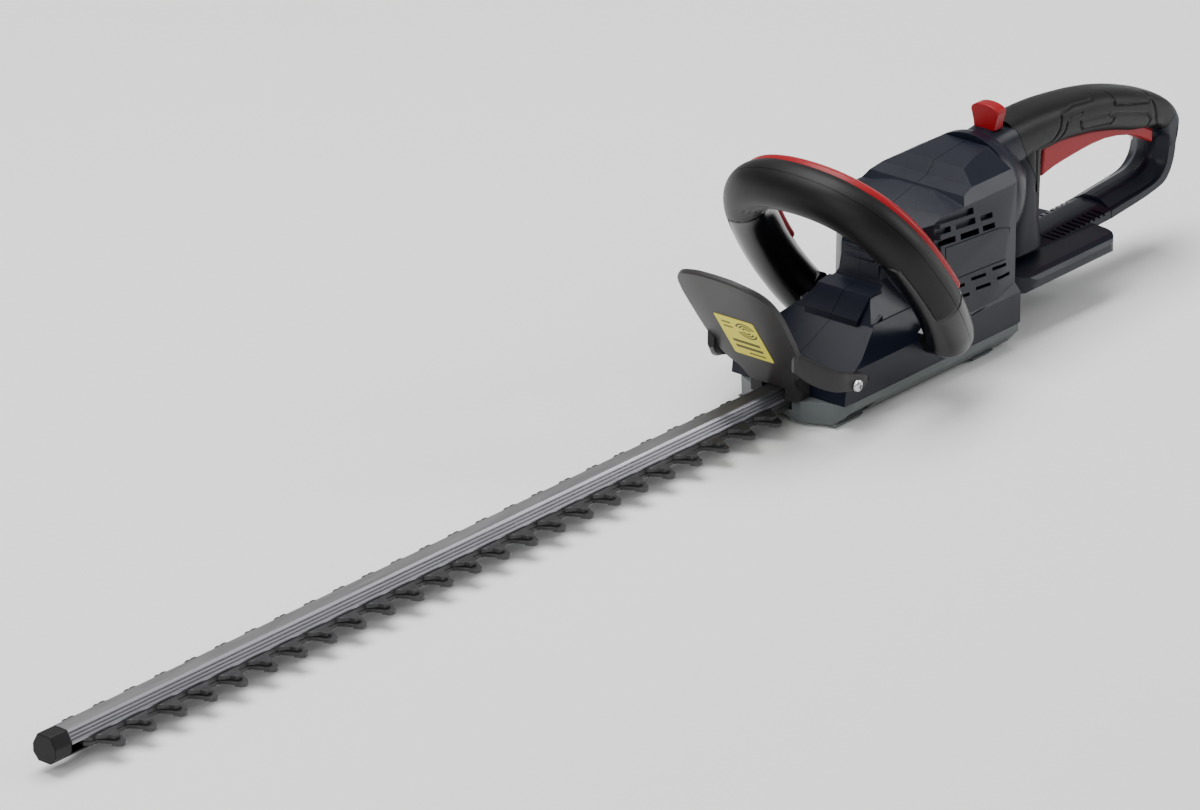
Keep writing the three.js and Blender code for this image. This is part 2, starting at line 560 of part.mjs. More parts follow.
const wingSide = prism('y', [
  [GUARD_X - 12, 22], [GUARD_X - 6, 17], [GUARD_X + 1, 14], [GUARD_X + 12, 11.5], [WING_BACK - 3, 11],
  [WING_BACK, 16], [WING_BACK - 4, 20.5], [GUARD_X + 8, 25], [GUARD_X - 2, 32], [GUARD_X - 16, 44],
], -60, 60);
function wing(side) {
  const plan = [
    [GUARD_X - 24, GUARD_HALF - 5], [GUARD_X - 10, GUARD_HALF - 5], [GUARD_X + 6, WING_Y],
    [WING_BACK + 1, WING_Y], [WING_BACK + 1, WING_Y + GUARD_T], [GUARD_X + 4, WING_Y + GUARD_T],
    [GUARD_X - 12, GUARD_HALF - 1],
    [GUARD_X - 24, GUARD_HALF - 1],
  ].map(([x, y]) => [x, side * y]);
  const shape = prism('z', side < 0 ? plan.reverse() : plan, 5, 60);
  return shape.intersect(wingSide);
}
const guardFoot = cut(
  box(GUARD_X - 3, BODY_FRONT + 10 - GAP, -15, 15, BAR_Z + 1, 17),
  box(GUARD_X - 9, BODY_FRONT + 11, -BAR_BASE_HALF - GAP, BAR_BASE_HALF + GAP, 0, BAR_TOP + GAP),
);
add('blade_guard', cut(
  union(placed(prism('z', shieldOutline, 0, GUARD_T), guard), wing(-1), wing(1), guardFoot),
  screwHole(2.1),
), 'guard');
const LABEL_T = 0.4;
add('guard_label', prism('z', [[-12, 24], [14, 24], [14, 58], [-12, 58]], -LABEL_T - GAP, -GAP), 'yellow', guard);
for (const [name, side] of [['guard_screw_left', -1], ['guard_screw_right', 1]]) {
  const outer = WING_Y + GUARD_T + GAP;
  const span = (a, b) => (side < 0 ? [-b, -a] : [a, b]);
  add(name, union(
    rod('y', 3.4, 3.4, ...span(outer, outer + 2), WING_SCREW, 12),
    rod('y', 1.7, 1.7, ...span(BODY_HALF - 5, outer + 0.1), WING_SCREW, 12),
  ), 'bright');
}

// ---------------------------------------------------------------- front loop handle
const LOOP_X = BODY_FRONT + 91;
const LOOP_Z = 15;
const loop = leaningGroup(LOOP_LEAN, LOOP_X, LOOP_Z);
const loopHalfLine = [
  [LOOP_HALF - 7.5, 9], [LOOP_HALF - 3, 20], [LOOP_HALF, LOOP_H * 0.33], [LOOP_HALF - 0.5, LOOP_H * 0.52],
  [LOOP_HALF * 0.91, LOOP_H * 0.73], [LOOP_HALF * 0.72, LOOP_H * 0.88],
  [LOOP_HALF * 0.4, LOOP_H * 0.972],
];
const loopLine = new THREE.CatmullRomCurve3([
  ...loopHalfLine.map(([y, s]) => new THREE.Vector3(-y, s, 0)),
  new THREE.Vector3(0, LOOP_H, 0),
  ...loopHalfLine.map(([y, s]) => new THREE.Vector3(y, s, 0)).reverse(),
]);
// A section of (outward, back) points carried along the loop's line between two shares of it.
function loopSweep(section, from, to, steps) {
  const stops = [];
  for (let i = 0; i <= 24; i += 1) stops.push(loopLine.getPointAt(from + ((to - from) * i) / 24));
  const points = section.map(([out, back]) => new THREE.Vector2(-back, out));
  return solid(new THREE.ExtrudeGeometry(new THREE.Shape(points), {
    steps, extrudePath: new THREE.CatmullRomCurve3(stops), bevelEnabled: false,
  }));
}
function arc(r, from, to, count) {
  const points = [];
  for (let i = 0; i <= count; i += 1) {
    const a = from + ((to - from) * i) / count;
    points.push([r * Math.cos(a), r * Math.sin(a)]);
  }
  return points;
}
const LOOP_STEPS = 18;
const SWITCH_FROM = 0.14;        // shares of the line where the switch bar starts and stops
const SWITCH_HALF = 9.4;
const SWITCH_TRAVEL = 3;
function halfShell(side) {
  const start = side < 0 ? -Math.PI : 0;
  const outer = arc(LOOP_R, start, start + Math.PI, 6);
  const inner = arc(LOOP_R - WALL, start + Math.PI, start, 4);
  return [...outer, ...inner].map(([out, back]) => [out, back + (side * GAP) / 2]);
}
function loopLug(side, back) {
  const inner = BODY_HALF + GAP;
  const span = side < 0 ? [-LOOP_HALF + 2, -inner] : [inner, LOOP_HALF - 2];
  const depth = back ? [GAP / 2, 9] : [-9, -GAP / 2];
  return box(...span, 3, 20, ...depth);
}
const bodyClear = box(-BODY_HALF - GAP, BODY_HALF + GAP, -40, 60, -60, 60);
const switchSlot = [
  [-SWITCH_HALF - RUN, 2], [SWITCH_HALF + RUN, 2], [SWITCH_HALF + RUN, 20], [-SWITCH_HALF - RUN, 20],
];
function loopShell(side) {
  const lugs = [loopLug(-1, side > 0), loopLug(1, side > 0)];
  return cut(union(loopSweep(halfShell(side), 0, 1, LOOP_STEPS), ...lugs), bodyClear);
}
add('loop_front_shell', loopShell(-1), 'rubber', loop);
add('loop_rear_shell', cut(
  loopShell(1),
  loopSweep(switchSlot, SWITCH_FROM - 0.005, 1 - SWITCH_FROM + 0.005, LOOP_STEPS),
), 'rubber', loop);
add('loop_switch_bar', loopSweep([
  [-SWITCH_HALF, 5], [SWITCH_HALF, 5], [SWITCH_HALF, LOOP_R - 3.5], [SWITCH_HALF - 3, LOOP_R + 1.2],
  [-SWITCH_HALF + 3, LOOP_R + 1.2], [-SWITCH_HALF, LOOP_R - 3.5],
], SWITCH_FROM, 1 - SWITCH_FROM, LOOP_STEPS), 'red', loop);
add('loop_microswitch', box(-8, 8, LOOP_H - 5, LOOP_H + 5, -7, 5 - SWITCH_TRAVEL - 0.5), 'black', loop);

// ---------------------------------------------------------------- rear handle
const F = HANDLE_X;
const B = HANDLE_BACK;
const POST_X = F + 53.5;          // rear face of the front post
const SEAM_X = B - 66;            // where the dock's bar meets the rear post
const BAR_LOW = 27;               // top of the lower bar at the front post
// C-shaped side outline: front post, top bar and rear post; the dock closes it underneath.
const handleSide = [
  [F + 7.5, BAR_LOW + GAP], [POST_X, BAR_LOW + GAP], [POST_X, 76], [POST_X + 6, 78], [POST_X + 39, 76],
  [POST_X + 61, 71.5], [POST_X + 81, 67], [B - 20, 61], [B - 17, 56], [B - 18, 40], [B - 25, 33.5],
  [SEAM_X, 30], [SEAM_X, 19], [B - 43, 21], [B - 23, 24], [B - 8, 27.5], [B - 4, 33], [B - 1, 48], [B, 58],
  [B - 3, 67], [B - 9, 75.5], [B - 22, 83], [B - 47, 91.5], [B - 74, 97.5], [B - 104, 101],
  [B - 129, 102], [F + 27.5, 102], [F + 7.5, 100.5],
];
const handlePlan = (half) => prism('z', [
  [F, -half], [B - 10, -half], [B - 3, -half + 3], [B, -half + 8], [B, half - 8], [B - 3, half - 3],
  [B - 10, half], [F, half],
], 0, 130);
function handleForm(inset) {
  const half = HANDLE_HALF - inset;
  return prism('y', insetOutline(handleSide, inset), -half, half).intersect(handlePlan(half));
}
const collarForm = (inset) => union(
  rod('x', SWIVEL_R - inset, SWIVEL_R - inset, F + inset, F + 8, [0, SWIVEL_Z], 32),
  rod('x', SWIVEL_R - inset, 15 - inset / 2, F + 7.9, F + 34, [0, SWIVEL_Z], 32),
);
const CORE = GRIP_T + 2 * GAP;
const gripZone = [
  [F + 29, 36], [POST_X + 1, 33], [POST_X + 1, 74], [POST_X + 61, 69], [B - 27, 58], [B - 14, 64],
  [B + 3, 70], [B + 3, 108], [F + 29, 108],
];
const gripBlock = (inset) => prism('y', insetOutline(gripZone, inset), -30, 30);
const triggerWell = prism('y', [
  [POST_X + GAP, 50], [B - 20.5, 50], [B - 20.5, 66], [B - 40, 76], [POST_X + 46, 90], [POST_X + GAP, 90],
], -9.4, 9.4);
const BUTTON_X = F + 14;
const BUTTON_LONG = 8;
const BUTTON_TRAVEL = 4;
const BUTTON_HALF = 9.5;
const BUTTON_Z = SWIVEL_Z + SWIVEL_R - 2;
const buttonPocket = box(
  BUTTON_X - RUN, BUTTON_X + BUTTON_LONG + BUTTON_TRAVEL + RUN,
  -BUTTON_HALF - RUN, BUTTON_HALF + RUN, BUTTON_Z, 120,
);
add('handle_grip', cut(
  handleForm(0).intersect(gripBlock(0)),
  handleForm(GRIP_T + GAP), collarForm(-GAP), buttonPocket,
  box(F, B - 20, -HANDLE_HALF + GRIP_T + 2, HANDLE_HALF - GRIP_T - 2, 30, 95),
), 'rubber');
// Hollow for the switch, the trigger and the wiring.
const handleHollow = prism('y', [
  [F + 26, 48], [POST_X - 6, 48], [POST_X - 6, 80], [POST_X + 39, 80], [B - 30, 66], [B - 18, 72],
  [B - 50, 84.5], [B - 74, 90.5], [B - 104, 95.5], [F + 26, 97],
], -HANDLE_HALF + CORE + WALL, HANDLE_HALF - CORE - WALL);
const HANDLE_SCREWS = [[F + 20, 38], [B - 10, 48], [B - 34, 27]];
const handleShell = cut(
  union(cut(handleForm(0), gripBlock(-GAP)), handleForm(CORE), collarForm(0)),
  handleHollow,
  collarForm(WALL), triggerWell, buttonPocket,
  rod('x', NECK_BORE, NECK_BORE, F - 1, F + 8, [0, SWIVEL_Z], 24),
  ...HANDLE_SCREWS.map((at) => rod('y', 3.5, 3.5, HANDLE_HALF - 4, HANDLE_HALF + 1, at, 12)),
  ...HANDLE_SCREWS.map((at) => rod('y', 1.9, 1.9, -HANDLE_HALF + 4, HANDLE_HALF, at, 12)),
);
add('rear_handle_left', handleShell.intersect(halfSpace(-1)), 'navy');
add('rear_handle_right', handleShell.intersect(halfSpace(1)), 'navy');
HANDLE_SCREWS.forEach((at, i) => {
  add(`handle_screw_${i + 1}`, union(
    rod('y', 3.2, 3.2, HANDLE_HALF - 3.7, HANDLE_HALF - 1.5, at, 12),
    rod('y', 1.6, 1.6, -HANDLE_HALF + 4.5, HANDLE_HALF - 3.6, at, 12),
  ), 'bright');
});
const collarBack = HANDLE_X - GAP;
const flangeFront = HOUSING_BACK - WALL - RUN - 3;
const ringProfile = [
  [NECK_BORE, flangeFront], [NECK_R + 3.5, flangeFront], [NECK_R + 3.5, flangeFront + 3],
  [NECK_R - GAP, flangeFront + 3], [NECK_R - GAP, collarBack], [NECK_BORE, collarBack],
  [NECK_BORE, flangeFront],
];
const ring = new THREE.LatheGeometry(ringProfile.map(([r, x]) => new THREE.Vector2(r, x)), 32);
ring.rotateZ(-Math.PI / 2).translate(0, 0, SWIVEL_Z);
add('swivel_collar', solid(ring), 'black');

// Trigger: hinged at its rear end, its front rises into the top bar.
const TRIGGER_PIVOT = [B - 22, 57.5];
add('trigger', prism('y', [
  [POST_X + 2, 62], [POST_X + 14, 64.6], [POST_X + 31, 66], [POST_X + 48, 67.2], [POST_X + 60, 67],
  [POST_X + 72, 65.2], [POST_X + 82, 62.6], [POST_X + 96, 56.6], [B - 21, 51.5],
  [TRIGGER_PIVOT[0] + 1, TRIGGER_PIVOT[1] + 2], [POST_X + 92, 66], [POST_X + 66, 72],
  [POST_X + 46, 76], [POST_X + 20, 79], [POST_X + 4, 79],
], -8.5, 8.5), 'red');
add('rear_switch', box(POST_X + 10, POST_X + 34, -7.5, 7.5, 86.5, 92.5), 'black');
add('lock_button', prism('x', [
  [-BUTTON_HALF + 2.5, BUTTON_Z + GAP], [BUTTON_HALF - 2.5, BUTTON_Z + GAP], [BUTTON_HALF, BUTTON_Z + 10],
  [BUTTON_HALF - 3.5, BUTTON_Z + 13], [0, BUTTON_Z + 14.5], [-BUTTON_HALF + 3.5, BUTTON_Z + 13],
  [-BUTTON_HALF, BUTTON_Z + 10],
], BUTTON_X, BUTTON_X + BUTTON_LONG), 'red');

// Battery dock: the lower bar of the handle with a slide-in rail underneath.
const dockBack = F + 96;
const dockPlan = [
  [F + 2.5, -18], [F + 6, -26], [F + 11, -31], [F + 19, -DOCK_HALF], [dockBack - 10, -DOCK_HALF],
  [dockBack, -DOCK_HALF + 10], [dockBack, DOCK_HALF - 10], [dockBack - 10, DOCK_HALF],
  [F + 19, DOCK_HALF], [F + 11, 31], [F + 6, 26], [F + 2.5, 18],
];
const dockSection = mirrored([
  [DOCK_HALF - 3, DOCK_Z], [DOCK_HALF, DOCK_Z + 3], [DOCK_HALF, 20.5], [DOCK_HALF - 5, 23.6], [14, 24.4],
]);
const lowerBarSection = mirrored([[11, 12], [14, 16], [14, 22], [5, BAR_LOW + 0.5], [4.9, BAR_LOW + 3]]);
const lowerBarSide = [
  [F + 12, 18], [dockBack - 8, 16], [SEAM_X - GAP, 18.5], [SEAM_X - GAP, 29.5], [POST_X, BAR_LOW],
  [F + 12, BAR_LOW],
];
const lowerBar = prism('y', lowerBarSide, -14, 14)
  .intersect(prism('x', lowerBarSection, F + 12, SEAM_X - GAP));
const RAIL_TOP = DOCK_Z + 5.5;
add('battery_dock', cut(
  union(prism('x', dockSection, F, dockBack + 1).intersect(prism('z', dockPlan, 10, 40)), lowerBar),
  box(F + 14, dockBack + 1, -23, 23, DOCK_Z - 3, RAIL_TOP),
  box(F + 14, dockBack + 1, -27, 27, DOCK_Z + 2.5, RAIL_TOP),
  box(F + 28, dockBack - 6, -10.5, 10.5, RAIL_TOP - 1, BAR_LOW - 1.7),
), 'navy');
add('terminal_block', box(F + 15, F + 26, -16, 16, DOCK_Z + 0.5, RAIL_TOP - GAP), 'black');
for (const [name, y] of [['terminal_left', -9], ['terminal_right', 9]]) {
  add(name, box(F + 26 + GAP, F + 44, y - 0.5, y + 0.5, DOCK_Z + 1, RAIL_TOP - 0.5), 'brass');
}
add('control_board', box(F + 46, dockBack - 10, -9, 9, RAIL_TOP + 0.3, RAIL_TOP + 1.9), 'board');

const whole = new THREE.Group();
tool.position.set(-(CAP_FRONT + HANDLE_BACK) / 2, 0, -FLOOR_Z);
whole.add(tool);
export default whole;
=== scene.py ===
# Looks of the cordless hedge trimmer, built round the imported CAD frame.
# Shapes are written in millimetres in the tool's own frame: x = 0 at the first tooth, +X to the
# rear handle, -Y the user's left, z = 0 where the two blades meet.
import json
import math

import bmesh
import bpy
import numpy as np
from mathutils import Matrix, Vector


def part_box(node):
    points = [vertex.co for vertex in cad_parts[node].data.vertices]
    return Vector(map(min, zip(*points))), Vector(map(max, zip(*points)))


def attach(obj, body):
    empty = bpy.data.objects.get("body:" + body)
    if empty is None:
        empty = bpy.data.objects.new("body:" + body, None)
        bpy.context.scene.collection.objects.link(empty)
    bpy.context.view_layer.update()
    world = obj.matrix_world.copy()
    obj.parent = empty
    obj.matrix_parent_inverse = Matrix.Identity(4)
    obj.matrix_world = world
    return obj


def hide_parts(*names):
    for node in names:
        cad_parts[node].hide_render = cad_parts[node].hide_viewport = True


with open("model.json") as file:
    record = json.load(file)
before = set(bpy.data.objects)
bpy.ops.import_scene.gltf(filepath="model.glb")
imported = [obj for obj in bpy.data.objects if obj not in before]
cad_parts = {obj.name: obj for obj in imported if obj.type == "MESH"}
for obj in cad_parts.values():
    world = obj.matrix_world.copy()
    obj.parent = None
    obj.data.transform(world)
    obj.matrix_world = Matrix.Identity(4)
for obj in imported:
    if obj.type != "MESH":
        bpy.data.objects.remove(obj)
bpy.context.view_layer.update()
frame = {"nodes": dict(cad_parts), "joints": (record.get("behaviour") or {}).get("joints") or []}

# ---------------------------------------------------------------- places taken from the frame
BLADE_NOSE = 13                       # the blades start this far in front of the first tooth
MM = 0.001
blade_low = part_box("blade_upper")[0]
ORIGIN = np.array([blade_low.x + BLADE_NOSE * MM, 0, blade_low.z])


def span(node):
    """Lowest and highest corner of a CAD node, in tool millimetres."""
    low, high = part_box(node)
    return (np.array(low) - ORIGIN) / MM, (np.array(high) - ORIGIN) / MM


base_low, base_high = span("gearcase_base")
BODY_FRONT = base_low[0] - 2
BODY_BACK = base_high[0]
BODY_HALF = base_high[1]
BASE_TOP = base_high[2]
FLOOR_Z = base_low[2]
BODY_TOP = span("motor_housing_left")[1][2]
handle_low, handle_high = span("rear_handle_left")
F = handle_low[0]                     # front of the rear handle
B = handle_high[0]                    # its back
POST_X = F + 53.5                     # where its finger gap begins
BAR_TOP = span("guide_bar")[1][2]
GAP = 0.3                             # between pieces that don't touch
SEAM = 0.12                           # from the middle of a two-part shell to each half
WALL = 2.6
joint_of = {j["name"]: j for j in frame["joints"]}
SWIVEL_Z = (joint_of["handle_swivel"]["pos_m"][2] - ORIGIN[2]) / MM
GEAR_X = (joint_of["crank_spin"]["pos_m"][0] - ORIGIN[0]) / MM
WING_SCREW = (BODY_FRONT + 15.5, 15)  # x and z of the screws that hold the guard's wings


# ---------------------------------------------------------------- mesh helpers
def placed(name, data):
    """A new object in the scene."""
    thing = bpy.data.objects.new(name, data)
    bpy.context.scene.collection.objects.link(thing)
    return thing


def solid(verts, faces):
    mesh = bpy.data.meshes.new("part")
    points = np.asarray(verts, float) * MM + ORIGIN
    mesh.from_pydata(points.tolist(), [], faces)
    bm = bmesh.new()
    bm.from_mesh(mesh)
    bmesh.ops.recalc_face_normals(bm, faces=bm.faces)
    bm.to_mesh(mesh)
    bm.free()
    return placed("part", mesh)


AXES = {"x": (1, 2, 0), "y": (0, 2, 1), "z": (0, 1, 2)}


def prism(axis, outline, start, end):
    """An outline carried along an axis: 'x' takes (y, z), 'y' takes (x, z), 'z' takes (x, y)."""
    a, b, c = AXES[axis]
    rings = np.zeros((2, len(outline), 3))
    for ring, level in zip(rings, (start, end)):
        ring[:, [a, b]] = outline
        ring[:, c] = level
    return loft(rings)


def side_prism(side, outline, near, far):
    """An (x, z) outline carried from near to far of the middle, on one side."""
    return prism("y", outline, *sorted((side * near, side * far)))


def box(x0, x1, y0, y1, z0, z1):
    return prism("z", [(x0, y0), (x1, y0), (x1, y1), (x0, y1)], z0, z1)


def loft(rings):
    """A closed skin through rings of points, with a flat cap at each end."""
    rings = np.asarray(rings, float)
    count, n = rings.shape[:2]
    faces = [list(range(n)), list(range((count - 1) * n, count * n))]
    for i in range(count - 1):
        for j in range(n):
            k = (j + 1) % n
            faces.append([i * n + j, i * n + k, (i + 1) * n + k, (i + 1) * n + j])
    return solid(rings.reshape(-1, 3), faces)


def lathe(axis, profile, centre, sides):
    """(radius, height) points turned about an axis through centre, with flat ends."""
    a, b, c = AXES[axis]
    turn = np.arange(sides) * 2 * math.pi / sides
    rings = np.zeros((len(profile), sides, 3))
    for i, (r, h) in enumerate(profile):
        rings[i, :, a] = centre[0] + r * np.cos(turn)
        rings[i, :, b] = centre[1] + r * np.sin(turn)
        rings[i, :, c] = h
    return loft(rings)


def rod(axis, r, start, end, centre, sides):
    return lathe(axis, [(r, start), (r, end)], centre, sides)


def hull(points):
    bm = bmesh.new()
    for p in points:
        bm.verts.new(np.asarray(p, float) * MM + ORIGIN)
    bmesh.ops.convex_hull(bm, input=bm.verts)
    loose = [v for v in bm.verts if not v.link_faces]
    bmesh.ops.delete(bm, geom=loose, context="VERTS")
    bmesh.ops.dissolve_limit(bm, angle_limit=0.01, verts=bm.verts, edges=bm.edges)
    mesh = bpy.data.meshes.new("part")
    bm.to_mesh(mesh)
    bm.free()
    return placed("part", mesh)


def baked(piece):
    """Applies every modifier."""
    graph = bpy.context.evaluated_depsgraph_get()
    mesh = bpy.data.meshes.new_from_object(piece.evaluated_get(graph))
    piece.modifiers.clear()
    piece.data = mesh
    return piece


def join(piece, *others, how="UNION"):
    for other in others:
        step = piece.modifiers.new("step", "BOOLEAN")
        step.operation = how
        step.solver = "MANIFOLD"
        step.object = other
        baked(piece)
        bpy.data.objects.remove(other)
    return piece


def cut(piece, *others):
    return join(piece, *others, how="DIFFERENCE")


def keep(piece, *others):
    return join(piece, *others, how="INTERSECT")


def copy_of(piece):
    twin = piece.copy()
    twin.data = piece.data.copy()
    bpy.context.scene.collection.objects.link(twin)
    return twin


def one_side(whole, side):
    """Half of a two-part shell; the left half is a copy, the right one uses the piece up."""
    half = copy_of(whole) if side < 0 else whole
    return keep(half, box(BODY_FRONT - 50, B + 50, *sorted((side * SEAM, side * 90)), -40, 190))


def mirrored(points):
    """Points on the right of an outline, followed by their mirror images."""
    return list(points) + [(-a, b) for a, b in reversed(points)]


def inset(points, d):
    """The same outline with every edge moved inwards by d (points run anticlockwise)."""
    out = []
    for i, p in enumerate(points):
        before, after = points[i - 1], points[(i + 1) % len(points)]
        a = np.array([p[0] - before[0], p[1] - before[1]], float)
        b = np.array([after[0] - p[0], after[1] - p[1]], float)
        a /= np.linalg.norm(a)
        b /= np.linalg.norm(b)
        na, nb = np.array([-a[1], a[0]]), np.array([-b[1], b[0]])
        out.append(tuple(np.array(p) + d * (na + nb) / (1 + na @ nb)))
    return out


def smooth_line(points, count):
    """Catmull-Rom through rows of numbers, at even steps along the line of their first three."""
    p = np.asarray(points, float)
    p = np.vstack([2 * p[0] - p[1], p, 2 * p[-1] - p[-2]])
    fine = []
    for i in range(1, len(p) - 2):
        for t in np.arange(24) / 24:
            a, b, c, d = p[i - 1], p[i], p[i + 1], p[i + 2]
            fine.append(0.5 * (2 * b + (c - a) * t + (2 * a - 5 * b + 4 * c - d) * t**2
                               + (3 * b - a - 3 * c + d) * t**3))
    fine = np.array(fine + [p[-2]])
    length = np.r_[0, np.cumsum(np.linalg.norm(np.diff(fine[:, :3], axis=0), axis=1))]
    even = np.linspace(0, length[-1], count)
    return np.column_stack([np.interp(even, length, fine[:, k]) for k in range(fine.shape[1])])


def line_distance(points, polyline):
    """Distance from each 2-D point to a polyline."""
    best = np.full(len(points), 1e9)
    for a, b in zip(polyline[:-1], polyline[1:]):
        a, b = np.array(a, float), np.array(b, float)
        t = np.clip(((points - a) @ (b - a)) / ((b - a) @ (b - a)), 0, 1)
        best = np.minimum(best, np.linalg.norm(points - a - t[:, None] * (b - a), axis=1))
    return best


def inside(points, polygon):
    """Which 2-D points lie in a polygon."""
    hit = np.zeros(len(points), bool)
    for (x0, y0), (x1, y1) in zip(polygon, polygon[1:] + polygon[:1]):
        crosses = (points[:, 1] < y0) != (points[:, 1] < y1)
        at = x0 + (points[:, 1] - y0) * (x1 - x0) / ((y1 - y0) or 1e-9)
        hit ^= crosses & (points[:, 0] < at)
    return hit


def dent(distance, width, depth):
    """Depth of a rounded groove at a distance from its line."""
    return depth * np.clip(1 - (distance / (width / 2)) ** 2, 0, 1)


# ---------------------------------------------------------------- materials
def add_node(material, kind, values):
    node = material.node_tree.nodes.new("ShaderNode" + kind)
    for key, value in values.items():
        node.inputs[key].default_value = value
    return node


def node_material(name, colour, rough, metal=0.0, vary=0.12, grain=900, bump=0.05, blotch=25,
                  stretch=(1, 1, 1), rough_vary=0.08, shine=0.24):
    """A finish whose colour, roughness and bump come from noise in the object's own space."""
    material = bpy.data.materials.new(name)
    material.use_nodes = True
    shader = material.node_tree.nodes["Principled BSDF"]
    shader.inputs["Metallic"].default_value = metal
    shader.inputs["Specular IOR Level"].default_value = shine
    place = add_node(material, "TexCoord", {})
    mapping = add_node(material, "Mapping", {"Scale": stretch})
    large = add_node(material, "TexNoise", {"Scale": blotch, "Detail": 6})
    fine = add_node(material, "TexNoise", {"Scale": grain, "Detail": 3})
    half = add_node(material, "Math", {1: 0.5})
    half.operation = "MULTIPLY"
    both = add_node(material, "Math", {1: 0.5})
    both.operation = "MULTIPLY_ADD"
    tint = add_node(material, "ValToRGB", {})
    tint.color_ramp.elements[0].position = 0.3
    tint.color_ramp.elements[1].position = 0.7
    for element, share in zip(tint.color_ramp.elements, (1 - vary, 1 + vary)):
        element.color = [min(1, c * share) for c in colour] + [1]
    gloss = add_node(material, "MapRange", {
        "From Min": 0.3, "From Max": 0.7,
        "To Min": max(0.05, rough - rough_vary), "To Max": min(1, rough + rough_vary),
    })
    relief = add_node(material, "Bump", {"Strength": bump, "Distance": 0.0005})
    for source, out, target, into in (
        (place, "Object", mapping, "Vector"), (mapping, "Vector", large, "Vector"),
        (mapping, "Vector", fine, "Vector"), (fine, "Fac", both, 0), (large, "Fac", half, 0),
        (half, 0, both, 2), (both, 0, tint, "Fac"), (tint, "Color", shader, "Base Color"),
        (both, 0, gloss, "Value"), (gloss, "Result", shader, "Roughness"),
        (fine, "Fac", relief, "Height"), (relief, "Normal", shader, "Normal"),
    ):
        material.node_tree.links.new(source.outputs[out], target.inputs[into])
    return material


FINISH = {
    "navy": node_material("navy_moulding", (0.0050, 0.0068, 0.0145), 0.34, bump=0.10, grain=2200),
    "loop_gloss": node_material("loop_plastic", (0.003, 0.003, 0.0035), 0.2, bump=0.01, grain=1800,
                                rough_vary=0.02, shine=0.5),
    "rubber": node_material("soft_grip", (0.0028, 0.0028, 0.003), 0.42, bump=0.22, grain=2600,
                            vary=0.2),
    "red": node_material("red_moulding", (0.26, 0.004, 0.008), 0.34, bump=0.05, grain=2000),
    "grey": node_material("grey_moulding", (0.10, 0.113, 0.112), 0.46, bump=0.12, grain=1800),
    "guard": node_material("guard_moulding", (0.028, 0.026, 0.026), 0.42, bump=0.10, grain=2400),
    "black": node_material("black_moulding", (0.003, 0.003, 0.003), 0.4, bump=0.15, grain=1500),
    "steel": node_material("blade_steel", (0.052, 0.052, 0.053), 0.38, metal=0.6, vary=0.3,
                           grain=700, blotch=60, bump=0.12, stretch=(1, 6, 1)),
    "ground": node_material("ground_edge", (0.15, 0.15, 0.155), 0.3, metal=0.8, vary=0.2,
                            grain=900, stretch=(1, 14, 1), bump=0.15),
    "bright": node_material("plated_steel", (0.62, 0.62, 0.63), 0.24, metal=1, vary=0.1, grain=600,
                            bump=0.06),
    "zinc": node_material("machined_steel", (0.38, 0.39, 0.40), 0.36, metal=1, vary=0.15,
                          grain=400, stretch=(1, 1, 9), bump=0.1),
    "aluminium": node_material("satin_aluminium", (0.30, 0.30, 0.33), 0.38, metal=0.9, vary=0.16,
                               grain=500, blotch=60, stretch=(0.05, 1, 1), bump=0.16,
                               rough_vary=0.12),
    # a darker copy of the aluminium for the bar's upward faces: painted shade on the top
    "aluminium_painted_shade": node_material("satin_aluminium_painted_shade", (0.20, 0.20, 0.205), 0.44, metal=0.85,
                                   vary=0.2, grain=500, blotch=45, stretch=(0.06, 1, 1),
                                   bump=0.14),
    "yellow": node_material("sticker", (0.70, 0.62, 0.055), 0.5, vary=0.05, bump=0.04),
    "print": node_material("sticker_print", (0.09, 0.085, 0.02), 0.55, vary=0.1),
    "copper": node_material("wound_copper", (0.55, 0.22, 0.09), 0.35, metal=0.9, vary=0.3,
                            grain=1400, stretch=(1, 1, 0.1), bump=0.5),
    "magnet": node_material("ferrite", (0.05, 0.05, 0.052), 0.6, metal=0.3, vary=0.2, bump=0.3),
    "brass": node_material("contact_brass", (0.62, 0.42, 0.12), 0.3, metal=1, vary=0.12),
    "board": node_material("circuit_board", (0.015, 0.11, 0.045), 0.4, vary=0.35, grain=300),
}


def finished(piece, name, finish, body, nodes=(), sharp=32, bevel=0.0, steps=3):
    """Names, paints and shades a piece, and hangs it on its CAD body."""
    piece.name = name
    piece.data.name = name
    piece.data.materials.clear()
    for each in [finish] if isinstance(finish, str) else finish:
        piece.data.materials.append(FINISH[each])
    bm = bmesh.new()
    bm.from_mesh(piece.data)
    bmesh.ops.remove_doubles(bm, verts=bm.verts, dist=0.002 * MM)
    if bevel:
        bmesh.ops.dissolve_limit(bm, angle_limit=math.radians(0.6), verts=bm.verts, edges=bm.edges)
    bm.to_mesh(piece.data)
    if bevel:
        bm.free()
        rounding = piece.modifiers.new("round", "BEVEL")
        rounding.width = bevel * MM
        rounding.segments = steps
        rounding.limit_method = "ANGLE"
        rounding.angle_limit = math.radians(24)
        rounding.harden_normals = False
        baked(piece)
        bm = bmesh.new()
        bm.from_mesh(piece.data)
    for face in bm.faces:
        face.smooth = True
    for edge in bm.edges:
        edge.smooth = len(edge.link_faces) == 2 and edge.calc_face_angle(0) < math.radians(sharp)
    bm.to_mesh(piece.data)
    bm.free()
    if bevel:
        flat = piece.modifiers.new("flat_faces", "WEIGHTED_NORMAL")
        flat.keep_sharp = True
        flat.weight = 80
    if nodes:
        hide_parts(*nodes)
    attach(piece, body)
    return piece


